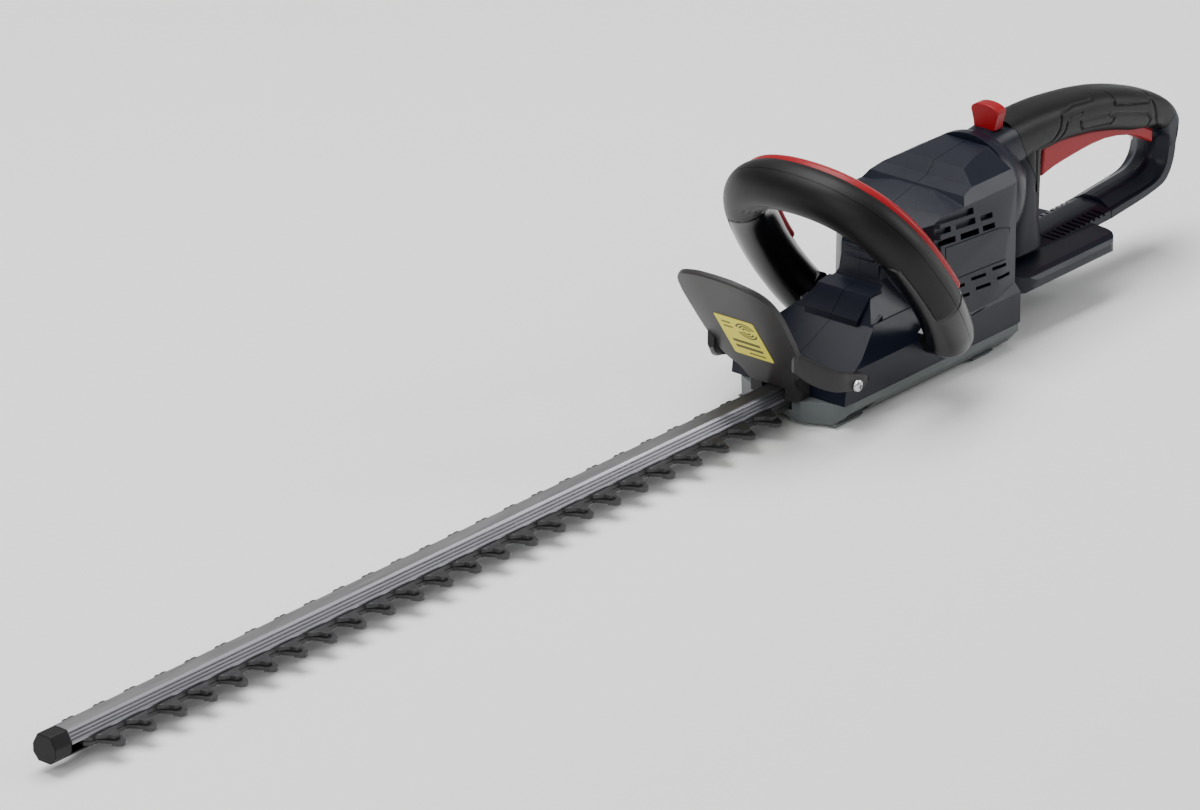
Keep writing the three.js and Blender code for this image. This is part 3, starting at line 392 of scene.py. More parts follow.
# ---------------------------------------------------------------- camera and light
def make_camera():
    """The view from the tool's front left: a long lens, aimed near the middle of the tool."""
    turn, fall, distance = math.radians(39.66), math.radians(23.0), 4.3118
    look = Vector((math.cos(turn) * math.cos(fall), math.sin(turn) * math.cos(fall), -math.sin(fall)))
    aim = Vector((-0.0352, 0, 0.0560))
    data = bpy.data.cameras.new("camera")
    data.sensor_width = 36
    data.lens = 252.8
    data.clip_end = 50
    camera = placed("camera", data)
    camera.location = aim - look * distance
    camera.rotation_euler = look.to_track_quat("-Z", "Y").to_euler()
    bpy.context.scene.camera = camera


def make_light(name, place, target, size, power):
    data = bpy.data.lights.new(name, "AREA")
    data.shape = "RECTANGLE"
    data.size, data.size_y = size
    data.energy = power
    lamp = placed(name, data)
    lamp.location = place
    lamp.rotation_euler = (Vector(target) - Vector(place)).to_track_quat("-Z", "Y").to_euler()


def make_stage():
    mesh = bpy.data.meshes.new("floor")
    mesh.from_pydata([(-6, -6, 0), (6, -6, 0), (6, 6, 0), (-6, 6, 0)], [], [[0, 1, 2, 3]])
    floor = placed("floor", mesh)
    mesh.materials.append(node_material("pale_floor", (0.86, 0.86, 0.86), 0.75, vary=0.01,
                                        blotch=3, bump=0.0))
    world = bpy.data.worlds.new("studio")
    world.use_nodes = True
    world.node_tree.nodes["Background"].inputs["Color"].default_value = (1, 1, 1, 1)
    world.node_tree.nodes["Background"].inputs["Strength"].default_value = 0.42
    bpy.context.scene.world = world
    make_light("top", (0.0, 0.5, 2.0), (0.0, 0.1, 0), (2.4, 1.2), 66)
    make_light("front", (-1.9, -0.5, 1.1), (0.15, 0, 0.05), (0.9, 0.9), 14)
    make_light("rear", (1.9, -1.2, 1.0), (0.3, 0, 0.05), (0.5, 1.2), 16)


make_camera()
make_stage()


# ---------------------------------------------------------------- front loop handle
press = joint_of["front_switch_press"]["axis"]
LEAN = math.atan2(-press[2], -press[0])
LOOP_R = 13.5
LOOP_HALF = span("loop_front_shell")[1][1] - LOOP_R - GAP
LOOP_H = 121.3
LOOP_FOOT = np.array([BODY_FRONT + 91, 0, 15])
UP = np.array([-math.sin(LEAN), 0, math.cos(LEAN)])
REAR = np.array([math.cos(LEAN), 0, math.sin(LEAN)])
ACROSS = np.array([0, 1, 0])
SLOT_HALF = 9.9                       # half width of the channel that holds the switch bar
SLOT_FROM = 0.137                     # share of the loop's line where that channel begins
BAR_FROM = SLOT_FROM + 0.003          # where the switch bar begins
GRIP_FROM = 0.14                      # and where the soft grip begins
LINE_LENGTH = 340                     # of the loop, roughly: it only turns shares into groove widths
half_line = [
    (LOOP_HALF - 9.5, 2), (LOOP_HALF - 6.5, 10), (LOOP_HALF - 3, 20), (LOOP_HALF, LOOP_H * 0.33),
    (LOOP_HALF - 0.5, LOOP_H * 0.52), (LOOP_HALF * 0.91, LOOP_H * 0.73),
    (LOOP_HALF * 0.72, LOOP_H * 0.88), (LOOP_HALF * 0.4, LOOP_H * 0.972),
]
right_line = [(y, s, 0) for y, s in half_line]
left_line = [(-y, s, 0) for y, s in half_line]
loop_line = smooth_line(left_line + [(0, LOOP_H, 0)] + right_line[::-1], 440)


def loop_rings(section_at, rows):
    """Rings of (outward, back) points set along the loop's line; rows index the line."""
    rings = []
    for i in rows:
        before, after = loop_line[max(i - 1, 0)], loop_line[min(i + 1, len(loop_line) - 1)]
        along = (after - before)[:2] / np.linalg.norm((after - before)[:2])
        outward = np.array([-along[1], along[0]])
        section = section_at(i / (len(loop_line) - 1))
        y = loop_line[i, 0] + section[:, 0] * outward[0]
        s = loop_line[i, 1] + section[:, 0] * outward[1]
        rings.append(LOOP_FOOT + np.outer(y, ACROSS) + np.outer(s, UP) + np.outer(section[:, 1], REAR))
    return rings


def fade(t, low, high):
    x = np.clip((t - low) / (high - low), 0, 1)
    return x * x * (3 - 2 * x)


LIP = math.acos(SLOT_HALF / LOOP_R)
ARC = LIP - np.linspace(0, math.pi + 2 * LIP, 150)      # from the outer lip round the front


def grip_edge(t):
    """Angle where the soft grip ends, measured from outward: inner face on top, outer on the legs."""
    m = min(t, 1 - t)
    return math.radians(-60 - 93 * fade(m, 0.27, 0.335) + 6 * math.sin(m * 60) * fade(m, 0.3, 0.4))


def loop_section(t):
    m = min(t, 1 - t)
    size = 1 - (1 - min(1, m / 0.035)) ** 2.4 * 0.62      # the leg's rounded lower end
    edge = grip_edge(t)
    step = 0.002
    slope = (grip_edge(t + step) - grip_edge(t - step)) * LOOP_R / (2 * step * LINE_LENGTH)
    depth = dent(np.abs(ARC - edge) * LOOP_R / math.hypot(1, slope), 1.3, 0.75)
    depth = np.where(m < GRIP_FROM, 0, depth)
    ring = dent(abs(m - GRIP_FROM) * LINE_LENGTH, 1.5, 0.75)
    depth = np.maximum(depth, np.where((ARC > edge) | (m > 0.3), ring, 0))
    for k, angle in enumerate((-104, -117, -130)):        # three ribs beside the bend
        reach = fade(m, 0.335 + 0.012 * k, 0.36) * (1 - fade(m, 0.43 + 0.012 * k, 0.47))
        depth = depth + dent(np.abs(ARC - math.radians(angle)) * LOOP_R, 1.6, 0.5) * reach
    r = (LOOP_R - depth) * size
    arc = np.column_stack([r * np.cos(ARC), r * np.sin(ARC)])
    deep = fade(m, SLOT_FROM - 0.004, SLOT_FROM)
    lip_z = LOOP_R * math.sin(LIP)
    steps = np.linspace(-1, 1, 12)
    round_back = np.sqrt(np.maximum(LOOP_R**2 - (steps * SLOT_HALF) ** 2, 0))
    floor_z = round_back * (1 - deep) + 4.2 * deep
    floor = np.column_stack([steps * SLOT_HALF, floor_z]) * size
    walls = np.linspace(0, 1, 4)[1:-1]
    left = [(-SLOT_HALF * size, (lip_z + (floor_z[0] - lip_z) * w) * size) for w in walls]
    right = [(SLOT_HALF * size, (floor_z[-1] + (lip_z - floor_z[-1]) * w) * size) for w in walls]
    return np.vstack([arc, left, floor, right])


def paint_loop(piece):
    """The grip's part of the loop gets the soft finish, the rest stays glossy."""
    middle = 55                           # height of the loop's middle; outward is away from it
    behind = 1.3                          # radians past outward; the channel's inner half lies beyond
    mesh = piece.data
    centre = np.zeros(len(mesh.polygons) * 3)
    mesh.polygons.foreach_get("center", centre)
    centre = (centre.reshape(-1, 3) - ORIGIN) / MM - LOOP_FOOT
    y, s, back = centre @ ACROSS, centre @ UP, centre @ REAR
    gap = np.hypot(y[:, None] - loop_line[None, ::4, 0], s[:, None] - loop_line[None, ::4, 1])
    near = gap.argmin(1) * 4
    share = near / (len(loop_line) - 1)
    heart = loop_line[near]
    out = np.hypot(y, s - middle) - np.hypot(heart[:, 0], heart[:, 1] - middle)
    angle = np.arctan2(back, out)
    m = np.minimum(share, 1 - share)
    edge = np.array([grip_edge(t) for t in share])
    grip = (m > GRIP_FROM) & (angle > edge) & (angle < behind)
    index = np.where(grip, 0, 1).astype(np.int32)
    mesh.polygons.foreach_set("material_index", index)


def loop_foot(side):
    """The block between the housing's flank and one leg, slimmer towards the leg."""
    middle = 10.5
    corners = [(1, 9), (20, 9), (5, 11), (16, 11)]
    foot = []
    for y, grow in ((BODY_HALF + GAP, 1.0), (BODY_HALF + 4, 0.93), (LOOP_HALF - 8, 0.9)):
        level = LOOP_FOOT + ACROSS * side * y
        for s, back in corners + [(s, -back) for s, back in corners]:
            foot.append(level + UP * (middle + (s - middle) * grow) + REAR * back * grow)
    return hull(foot)


def make_loop():
    whole = loft(loop_rings(loop_section, range(len(loop_line))))
    join(whole, loop_foot(-1), loop_foot(1))
    for end, name, node in ((-1, "loop_front", "loop_front_shell"), (1, "loop_back", "loop_rear_shell")):
        room = [LOOP_FOOT + ACROSS * y + UP * s + REAR * b * end
                for y in (-120, 120) for s in (-60, 200) for b in (SEAM, 60)]
        half = keep(copy_of(whole) if end < 0 else whole, hull(room))
        finished(half, name, ["rubber", "loop_gloss"], "housing", [node], sharp=50)
        paint_loop(half)


def switch_section(t):
    m = min(t, 1 - t)
    from_end = min(1, (m - BAR_FROM) / 0.012)
    rounded = math.sqrt(max(0, 1 - (1 - from_end) ** 2)) * 0.6 + 0.4
    half, floor, shoulder, top = 9.3, 7.5, LOOP_R - 4.6, LOOP_R + 1.35
    corner = [(half - 2.2 + 2.2 * math.cos(a), LOOP_R - 3.2 + 3.2 * math.sin(a))
              for a in np.linspace(0.3, 1.35, 6)]
    outline = [(-half, floor), (half, floor), (half, shoulder), *corner]
    outline += [(x, top - 0.35 * (x / 7) ** 2) for x in np.linspace(6, -6, 7)]
    outline += [(-y, back) for y, back in reversed(corner)] + [(-half, shoulder)]
    points = np.array(outline)
    points[:, 0] *= rounded
    return points


def make_switch_bar():
    last = len(loop_line) - 1
    first = math.ceil(BAR_FROM * last)
    piece = loft(loop_rings(switch_section, range(first, last - first + 1)))
    finished(piece, "front_switch_bar", "red", "front_switch", ["loop_switch_bar"], sharp=40)


# ---------------------------------------------------------------- motor housing
HOUSING_Z = BASE_TOP + GAP
HOUSING_BACK = BODY_BACK + 1.5
HOOD_X = BODY_FRONT + 72              # front of the tall part
STEP_X = BODY_BACK - 36               # where the roof steps up to the dome


def housing_form(d):
    """The housing's outer form with every face moved in by d."""
    side = [
        (BODY_FRONT + 10, HOUSING_Z), (HOUSING_BACK, HOUSING_Z), (HOUSING_BACK, BODY_TOP),
        (BODY_BACK - 13, BODY_TOP - 1), (BODY_BACK - 27, BODY_TOP - 3), (BODY_BACK - 33, BODY_TOP - 9),
        (BODY_BACK - 63, BODY_TOP - 16.5), (HOOD_X + 12, BODY_TOP - 22.5), (HOOD_X + 3, BODY_TOP - 31),
        (HOOD_X, 58), (HOOD_X - 2, 47), (HOOD_X - 15, 44), (HOOD_X - 24, 33), (BODY_FRONT + 28, 24),
        (BODY_FRONT + 12, 19),
    ]
    back = HOUSING_BACK - d
    lower = mirrored([(BODY_HALF, HOUSING_Z - 1), (BODY_HALF, 21), (26, 34)])
    flank = [(BODY_HALF - 1, 20), (BODY_HALF - 3.6, BODY_TOP - 15.5)]
    upper = mirrored(flank + [(BODY_HALF - 8, BODY_TOP - 9), (14, BODY_TOP + 0.5)])
    front = mirrored(flank + [(BODY_HALF - 12, BODY_TOP - 14), (13, BODY_TOP - 12)])
    plan = [
        (HOOD_X + 4, -14), (HOOD_X + 12, -24), (HOOD_X + 26, -BODY_HALF), (HOUSING_BACK - 26, -BODY_HALF),
        (HOUSING_BACK, -34), (HOUSING_BACK, 34), (HOUSING_BACK - 26, BODY_HALF), (HOOD_X + 26, BODY_HALF),
        (HOOD_X + 12, 24), (HOOD_X + 4, 14),
    ]
    hood = mirrored([(32, HOUSING_Z - 1), (32, 24), (19, 42), (14, 50), (12, BODY_TOP)])
    dome = prism("x", inset(upper, d), STEP_X - 14, back)
    step = STEP_X + d
    slope = [(step - 12, 10), (back, 10), (back, 110), (step + 6, 110), (step - 4, 90), (step - 12, 79)]
    high = join(
        keep(dome, prism("y", slope, -60, 60)),
        prism("x", inset(front, d), HOOD_X, step + 4),
    )
    keep(high, prism("z", inset(plan, d), HOUSING_Z, BODY_TOP + 2))
    whole = join(
        prism("x", inset(lower, d), BODY_FRONT, back), high,
        prism("x", inset(hood, d), BODY_FRONT, HOOD_X + 30 - d),
    )
    return keep(whole, prism("y", inset(side, d), -BODY_HALF - 1, BODY_HALF + 1))


SLANT = -0.085                        # fall of the vent rows towards the rear


def vent(side, x0, x1, z, height):
    """A slanted slot through one flank; z is the lower edge at x0."""
    drop = (x1 - x0) * SLANT
    lean = 0.12 * height
    outline = [(x0 + lean, z), (x1 + lean, z + drop), (x1, z + drop + height), (x0, z + height)]
    return side_prism(side, outline, BODY_HALF - WALL - 3, BODY_HALF + 2)


def flank_vents(side):
    """Wide vents above the plain band and two rows of three fine ones below it."""
    vents = [
        (-70, -37.5, 79.6, 3.7), (-70, -57.5, 73.8, 3.4), (-53, -36, 72.3, 3.6), (-70, -53.5, 67.4, 3.4),
        (-49, -33, 65.4, 3.4), (-31.5, -21, 70.6, 3.2), (-29.5, -19, 64.2, 3.2),
    ]
    for k in range(3):
        x = 18.6 * k
        vents += [(x - 59, x - 46, 39.6, 1.9), (x - 55, x - 42, 33.0, 1.9)]
    return [vent(side, BODY_BACK + x0, BODY_BACK + x1, z, height) for x0, x1, z, height in vents]


def flank_panels(side):
    """Fine lines round the plain band between the two groups of vents."""
    x = BODY_BACK
    band = [(x - 62, 45.4), (x - 5.5, 42.6), (x - 6, 59.5), (x - 15, 62), (x - 62, 65)]
    cuts = []
    for a, b in zip(band, band[1:] + band[:1]):
        along = np.subtract(b, a) / np.linalg.norm(np.subtract(b, a))
        wide = np.array([-along[1], along[0]]) * 0.35
        a, b = np.array(a) - along * 0.3, np.array(b) + along * 0.3
        depth = [BODY_HALF - 1 - 2.6 * (p[1] - 20) / 63 - 0.5 for p in (a, b)]
        corners = [(p[0] + k * wide[0], side * (d + more), p[1] + k * wide[1])
                   for p, d in zip((a, b), depth) for k in (-1, 1) for more in (0, 4)]
        cuts.append(hull(corners))
    return cuts


def make_housing():
    whole = housing_form(0)
    x = HOOD_X
    nose = [(x - 1.5, 47), (x + 9, 47), (x + 9, 74), (x + 2, 73), (x - 1.5, 66)]
    join(whole, prism("y", nose, -12.5, 12.5))
    for k in range(3):                                    # ribs across the nose
        join(whole, rod("y", 1.25, -9.5, 9.5, (x - 1.2 + 0.35 * k, 60 + 4.2 * k), 16))
    plate = [(x - 27, 30), (x - 5, 30), (x - 5, 46.8), (x - 15, 45.6), (x - 25.5, 35)]
    cheek = [(x - 38, 24), (x - 14, 24), (x - 14, 37), (x - 27, 30.5)]
    join(whole, prism("y", plate, -17.5, 17.5), prism("y", cheek, -25.5, 25.5))
    bar_way = box(BODY_FRONT - 5, BODY_FRONT + 20, -9, 9, 0, BAR_TOP + 1)
    inner_half = BODY_HALF - WALL
    floor_way = box(BODY_FRONT + 16, BODY_BACK - 2, -inner_half, inner_half, HOUSING_Z - 2, 12)
    cut(whole, housing_form(WALL), floor_way, bar_way)
    cut(whole, rod("x", 22.8, BODY_BACK - 8, BODY_BACK + 6, (0, SWIVEL_Z), 64))
    cut(whole, rod("y", 2.1, -60, 60, WING_SCREW, 20))
    x0, x1 = BODY_FRONT + 100, BODY_BACK + 3
    lip = [(x0, 18.6), (x1, 24.2), (x1, 25.0), (x0, 19.4)]
    for side in (-1, 1):
        cut(whole, *flank_panels(side), *flank_vents(side))
        cut(whole, side_prism(side, lip, BODY_HALF - 0.6, BODY_HALF + 1))
    for side, name in ((-1, "left"), (1, "right")):
        half = one_side(whole, side)
        finished(half, f"housing_{name}", "navy", "housing", [f"motor_housing_{name}"], bevel=0.7)


# ---------------------------------------------------------------- gearcase base
def make_base():
    section = mirrored([(BODY_HALF - 7, FLOOR_Z + 2), (BODY_HALF, FLOOR_Z + 10), (BODY_HALF, BASE_TOP)])
    plan = [
        (BODY_FRONT + 2, -15), (BODY_FRONT + 10, -BODY_HALF + 7), (BODY_FRONT + 18, -BODY_HALF),
        (BODY_BACK, -BODY_HALF), (BODY_BACK, BODY_HALF),
        (BODY_FRONT + 18, BODY_HALF), (BODY_FRONT + 10, BODY_HALF - 7), (BODY_FRONT + 2, 15),
    ]
    whole = keep(prism("x", section, BODY_FRONT, BODY_BACK), prism("z", plan, FLOOR_Z, BASE_TOP))
    recess = [(BODY_FRONT + a, z) for a, z in ((17, -7.5), (36, -7.5), (40, -3.5), (17, -3.5))]
    rear = [(BODY_BACK - a, z) for a, z in ((30, -7.8), (6, -7.8), (6, -4), (26, -4))]
    for side in (-1, 1):
        for x, long in ((BODY_FRONT + 21, 20), (BODY_BACK - 24, 14)):
            foot = [(x + a * (long / 2 + grow), side * 27 + b * (4 + grow), z)
                    for grow, z in ((0, FLOOR_Z), (2, FLOOR_Z + 2.5)) for a in (-1, 1) for b in (-1, 1)]
            join(whole, hull(foot))
        cut(whole, side_prism(side, recess, BODY_HALF - 7, BODY_HALF + 2))
        cut(whole, side_prism(side, rear, BODY_HALF - 4, BODY_HALF + 2))
    cut(whole, rod("x", 30, BODY_FRONT - 1, BODY_FRONT + 16, (0, FLOOR_Z - 26), 64))
    cut(whole, box(BODY_FRONT + 22, GEAR_X + 34, -22.5, 22.5, -3.6, BASE_TOP + 1))
    cut(whole, box(BODY_FRONT - 1, BODY_FRONT + 23, -9, 9, -3.6, BASE_TOP + 1))
    cut(whole, rod("z", 9.8, -6.5, 0, (GEAR_X, 0), 48))
    cut(whole, box(GEAR_X + 38, BODY_BACK - WALL, -BODY_HALF + 6, BODY_HALF - 6, -4, BASE_TOP + 1))
    finished(whole, "gearcase", "grey", "housing", ["gearcase_base"], bevel=0.6)


# ---------------------------------------------------------------- guard and sticker
GUARD_X = BODY_FRONT - 3
GUARD_Z = BAR_TOP + 0.5
GUARD_LEAN = math.radians(34)
GUARD_H = 92
GUARD_T = 3.4
GUARD_RIM = 0.012                     # share of the outline that the rounded rim takes up
GUARD_UP = np.array([-math.sin(GUARD_LEAN), 0, math.cos(GUARD_LEAN)])
GUARD_REAR = np.array([math.cos(GUARD_LEAN), 0, math.sin(GUARD_LEAN)])
half_outline = [
    (15, 0), (16.5, 6), (18.5, 10.5), (22, 13), (25, 16), (28, 22), (31, 38), (32, 52), (32.4, 66),
    (31, 76.5), (27.6, 83.5), (22, 88), (12.5, 91.2), (0, GUARD_H),
]


def guard_point(y, s, back):
    """A place on the shield: it bows back a little at its sides."""
    bow = 2.4 * np.clip((abs(y) - 14) / 20, 0, 1) ** 2
    return GUARD_REAR * (back + bow) + ACROSS * y + GUARD_UP * s + np.array([GUARD_X, 0, GUARD_Z])


def make_shield():
    right = smooth_line([(a, b, 0) for a, b in half_outline], 90)[:, :2]
    outline = np.vstack([right, (right * [-1, 1])[::-1][1:]])
    middle = np.array([0, 46])
    rings = []
    for back, shares in ((GUARD_T, np.linspace(0, 1, 10)[1:]), (0, np.linspace(1, 0, 10)[:-1])):
        for share in shares:
            points = middle + (outline - middle) * (share - GUARD_RIM * (share == 1))
            rings.append([guard_point(y, s, back) for y, s in points])
        if back:
            for angle in np.linspace(0, math.pi, 6)[1:-1]:
                level = GUARD_T / 2 + GUARD_T / 2 * math.cos(angle)
                points = middle + (outline - middle) * (1 - GUARD_RIM + GUARD_RIM * math.sin(angle))
                rings.append([guard_point(y, s, level) for y, s in points])
    return loft(rings)


def guard_wing(side):
    """The shield's lower corner runs back along the housing's flank to a pointed, holed tip."""
    flank = BODY_HALF + GAP
    r = 1.7                               # half the wing's thickness
    count = 40
    rows = []
    places = [(-17, 26), (-9, 30.6), (-1, 35.6), (6, flank - 0.1), (12, flank), (20, flank), (29, flank)]
    path = smooth_line([(GUARD_X + a, b, 0) for a, b in places], count)[:, :2]
    top = [(-17, 42), (-9, 36.5), (-1, 31), (6, 26.5), (15, 22.6), (24, 20), (27.5, 18.2), (29, 16.2)]
    low = [(-17, 30), (-9, 22.5), (-1, 17.4), (6, 14.6), (15, 12.4), (24, 11.4), (27.5, 12.6), (29, 14.6)]
    top, low = (smooth_line([(a, b, 0) for a, b in line], count) for line in (top, low))
    for i, (x, y) in enumerate(path):
        before, after = path[max(i - 1, 0)], path[min(i + 1, count - 1)]
        along = (after - before) / np.linalg.norm(after - before)
        normal = np.array([-along[1], along[0]])
        z0 = np.interp(x - GUARD_X, low[:, 0], low[:, 1])
        z1 = np.interp(x - GUARD_X, top[:, 0], top[:, 1])
        section = []
        for z, bend in ((z0, 1), (z1, -1)):
            for a in np.linspace(-math.pi / 2, math.pi / 2, 5) * -bend:
                section.append((math.sin(a) * r + r, z + bend * (r - math.cos(a) * r)))
        rows.append([(x + normal[0] * o, side * (y + normal[1] * o), z) for o, z in section])
    return loft(rows)


def make_guard():
    whole = make_shield()
    foot = cut(
        box(GUARD_X + 0.6, BODY_FRONT + 10 - GAP, -15, 15, BAR_TOP - 6, 17),
        box(GUARD_X - 9, BODY_FRONT + 11, -7.8, 7.8, 0, BAR_TOP + GAP),
    )
    join(whole, foot, guard_wing(-1), guard_wing(1))
    cut(whole, rod("y", 2.1, -60, 60, WING_SCREW, 24))
    finished(whole, "guard", "guard", "housing", ["blade_guard"], sharp=38)


def sticker_shape(points, low, high):
    """A thin flat shape on the shield's front; points are (across, up) from the sticker's corner."""
    return loft([[guard_point(-12 + a, 24 + b, -level) for a, b in points] for level in (low, high)])


def make_sticker():
    flat = 0.30
    corner = [(0.8, 0), (25.2, 0), (26, 0.8), (26, 33.2), (25.2, 34), (0.8, 34), (0, 33.2), (0, 0.8)]
    sheet = sticker_shape(corner, 0.02, flat)
    finished(sheet, "sticker_sheet", "yellow", "housing", ["guard_label"])
    shapes = []
    for r in (2.2, 4.2, 6.2):
        for start in (0.35, math.pi + 0.35):
            arc = np.linspace(start, start + math.pi - 0.7, 18)
            shapes.append([(8 + edge * math.cos(a), 24.5 + edge * math.sin(a))
                           for edge, turn in ((r + 0.55, arc), (r - 0.55, arc[::-1])) for a in turn])
    bars = [(17, 28, 6, 1.3), (17, 24, 6, 1.3), (4, 11.5, 18, 2.4), (4, 6.5, 18, 2.4), (4, 2.6, 11, 1.3)]
    for x, y, wide, tall in bars:
        shapes.append([(x, y), (x + wide, y), (x + wide, y + tall), (x, y + tall)])
    first, *rest = [sticker_shape(s, flat - 0.1, flat + 0.05) for s in shapes]
    finished(join(first, *rest), "sticker_marks", "print", "housing")


# ---------------------------------------------------------------- rear handle
def bar_rings(stations, count, around=96):
    """Rounded sections between an outer and an inner line; rows are outer x, z, inner x, z, half, power."""
    line = smooth_line(stations, count)
    turn = np.arange(around) * 2 * math.pi / around
    rings = []
    for ox, oz, ix, iz, half, power in line:
        outer, inner = np.array([ox, 0, oz]), np.array([ix, 0, iz])
        c = np.sign(np.cos(turn)) * np.abs(np.cos(turn)) ** (2 / power)
        s = np.sign(np.sin(turn)) * np.abs(np.sin(turn)) ** (2 / power)
        corner = 2 - 0.58 * fade(power, 3, 7)           # boxy sections get cropped corners
        crop = np.minimum(1, corner / (np.abs(c) + np.abs(s)))
        c, s = c * crop, s * crop
        rings.append((outer + inner) / 2 + np.outer(c, (outer - inner) / 2) + np.outer(s, ACROSS) * half)
    return np.array(rings)


TOP_BAR = [
    (F + 8, 100.5, F + 10, 72, 13.6, 2.6), (F + 20, 102, F + 22, 73, 13.8, 2.6),
    (F + 37, 103, F + 39, 75, 14.2, 2.6), (POST_X + 1, 103, POST_X + 1, 77, 14.6, 2.7),
    (B - 104.5, 101.5, POST_X + 19, 77.5, 14.8, 2.8), (B - 74.5, 97.5, POST_X + 42, 75, 14.8, 2.8),
    (B - 49, 91.5, POST_X + 62, 70.5, 14.8, 2.8), (B - 24.5, 83, POST_X + 82, 64.8, 14.6, 2.8),
    (B - 11, 75.5, B - 22, 61.2, 14.2, 3.2), (B - 3.2, 67, B - 17.6, 57.8, 13.8, 4),
    (B - 0.2, 57, B - 16.2, 53.5, 13.3, 6), (B - 1.2, 47, B - 17, 45, 13, 7),
    (B - 4.5, 36, B - 19.5, 38, 13.2, 7), (B - 11.5, 27, B - 27, 33.2, 13.6, 7),
    (B - 27.5, 23, B - 40, 31.6, 14, 7), (B - 43.5, 20.8, B - 54, 30.7, 14, 7),
    (B - 65.7, 18.6, B - 65.7, 29.7, 14, 7),
]
LOWER_BAR = [
    (B - 66.1, 18.6, B - 66.1, 29.7, 14, 7), (POST_X + 30, 17.6, POST_X + 30, 28.9, 14, 7),
    (POST_X, 17, POST_X, 27.8, 14, 7), (F + 12, 16.5, F + 12, 27, 13.6, 7),
]
POST = [
    (F + 33, 96, POST_X + 1, 96, 13.4, 2.6), (F + 31, 84, POST_X + 1, 84, 13.8, 2.6),
    (F + 29.5, 72, POST_X + 0.6, 72, 14, 2.6), (F + 27.5, 58, POST_X + 0.2, 58, 14, 2.7),
    (F + 24, 46, POST_X, 46, 14.2, 2.8), (F + 18, 37, POST_X, 37, 15, 2.9),
    (F + 12, 27.4, POST_X, 27.4, 17.2, 3.2),
]
GRIP_EDGE = [
    (F + 20, 120), (F + 20, 105), (F + 28, 98.2), (F + 31, 89), (F + 37.5, 77.7), (F + 44.5, 63.8),
    (F + 45.2, 41), (F + 60, 36.6), (POST_X + 3, 60), (POST_X + 3, 73), (POST_X + 42, 71), (POST_X + 80, 62),
    (B - 27, 55), (B - 19, 58.5), (B - 12, 63), (B - 6, 67.5), (B + 4, 71), (B + 4, 120),
]
GROOVES = [
    [(F + 43.8, 59.3), (F + 43.9, 82.5), (F + 57.6, 83.5), (F + 62.9, 89), (F + 65.4, 97), (F + 77.3, 98.2)],
    [(F + 48.9, 69.5), (F + 48.5, 79), (F + 61.4, 81.2), (F + 67.6, 86.4), (F + 70, 92), (F + 83, 92.8)],
    [(F + 81.6, 88.9), (F + 105.9, 85.6), (F + 112.6, 80.9), (F + 109.9, 78.6), (F + 84.7, 82.1),
     (F + 81.7, 85.9), (F + 81.6, 88.9)],
    [(F + 112.5, 83.7), (F + 142.9, 74.7), (F + 146.8, 70.1), (F + 145.1, 65.9)],
    [(F + 105.7, 104), (F + 114.5, 91.7), (F + 112.8, 88), (F + 146.9, 79.8), (F + 148.7, 82.9),
     (F + 140.8, 93)],
    [(F + 143.8, 94), (F + 149.9, 79.4), (F + 152.2, 67.9), (F + 160, 58)],
    [(F + 77.3, 98.2), (F + 96, 96), (F + 105.7, 104)],
]
PADS = [GROOVES[2][:-1], GROOVES[4]]  # the parts between grooves that stand a little proud
CORE = 2.2                            # from the handle's skin to the hollow inside its bars


def core_rings(stations, dx, dz, count):
    """Sections of the hollow inside a bar; dx and dz move its outer and inner line together."""
    core = [(ox + dx, oz - dz, ix - dx, iz + dz, half - CORE, p) for ox, oz, ix, iz, half, p in stations]
    return bar_rings(core, count)


def button_pocket():
    return box(F + 13.5, F + 26.5, -10, 10, 99.9, 122)


def collar(d):
    """The round flare behind the swivel joint, with its skin moved in by d."""
    radii = [(33, d), (33, 4), (32.4, 7), (30.6, 11), (27.4, 16), (23.2, 22), (18.8, 28), (14.5, 34)]
    return lathe("x", [(r - d, F + x) for r, x in radii], (0, SWIVEL_Z), 128)


def carved(rings):
    """Grooves on the flanks, pressed in along the lines of GROOVES."""
    flat = rings.reshape(-1, 3)
    depth = np.zeros(len(flat))
    for line in GROOVES:
        depth = np.maximum(depth, dent(line_distance(flat[:, [0, 2]], line), 1.7, 0.8))
    for pad in PADS:
        depth -= 0.35 * inside(flat[:, [0, 2]], pad)
    flank = np.clip((np.abs(flat[:, 1]) - 5) / 4, 0, 1)
    flat[:, 1] -= np.sign(flat[:, 1]) * depth * flank
    return flat.reshape(rings.shape)


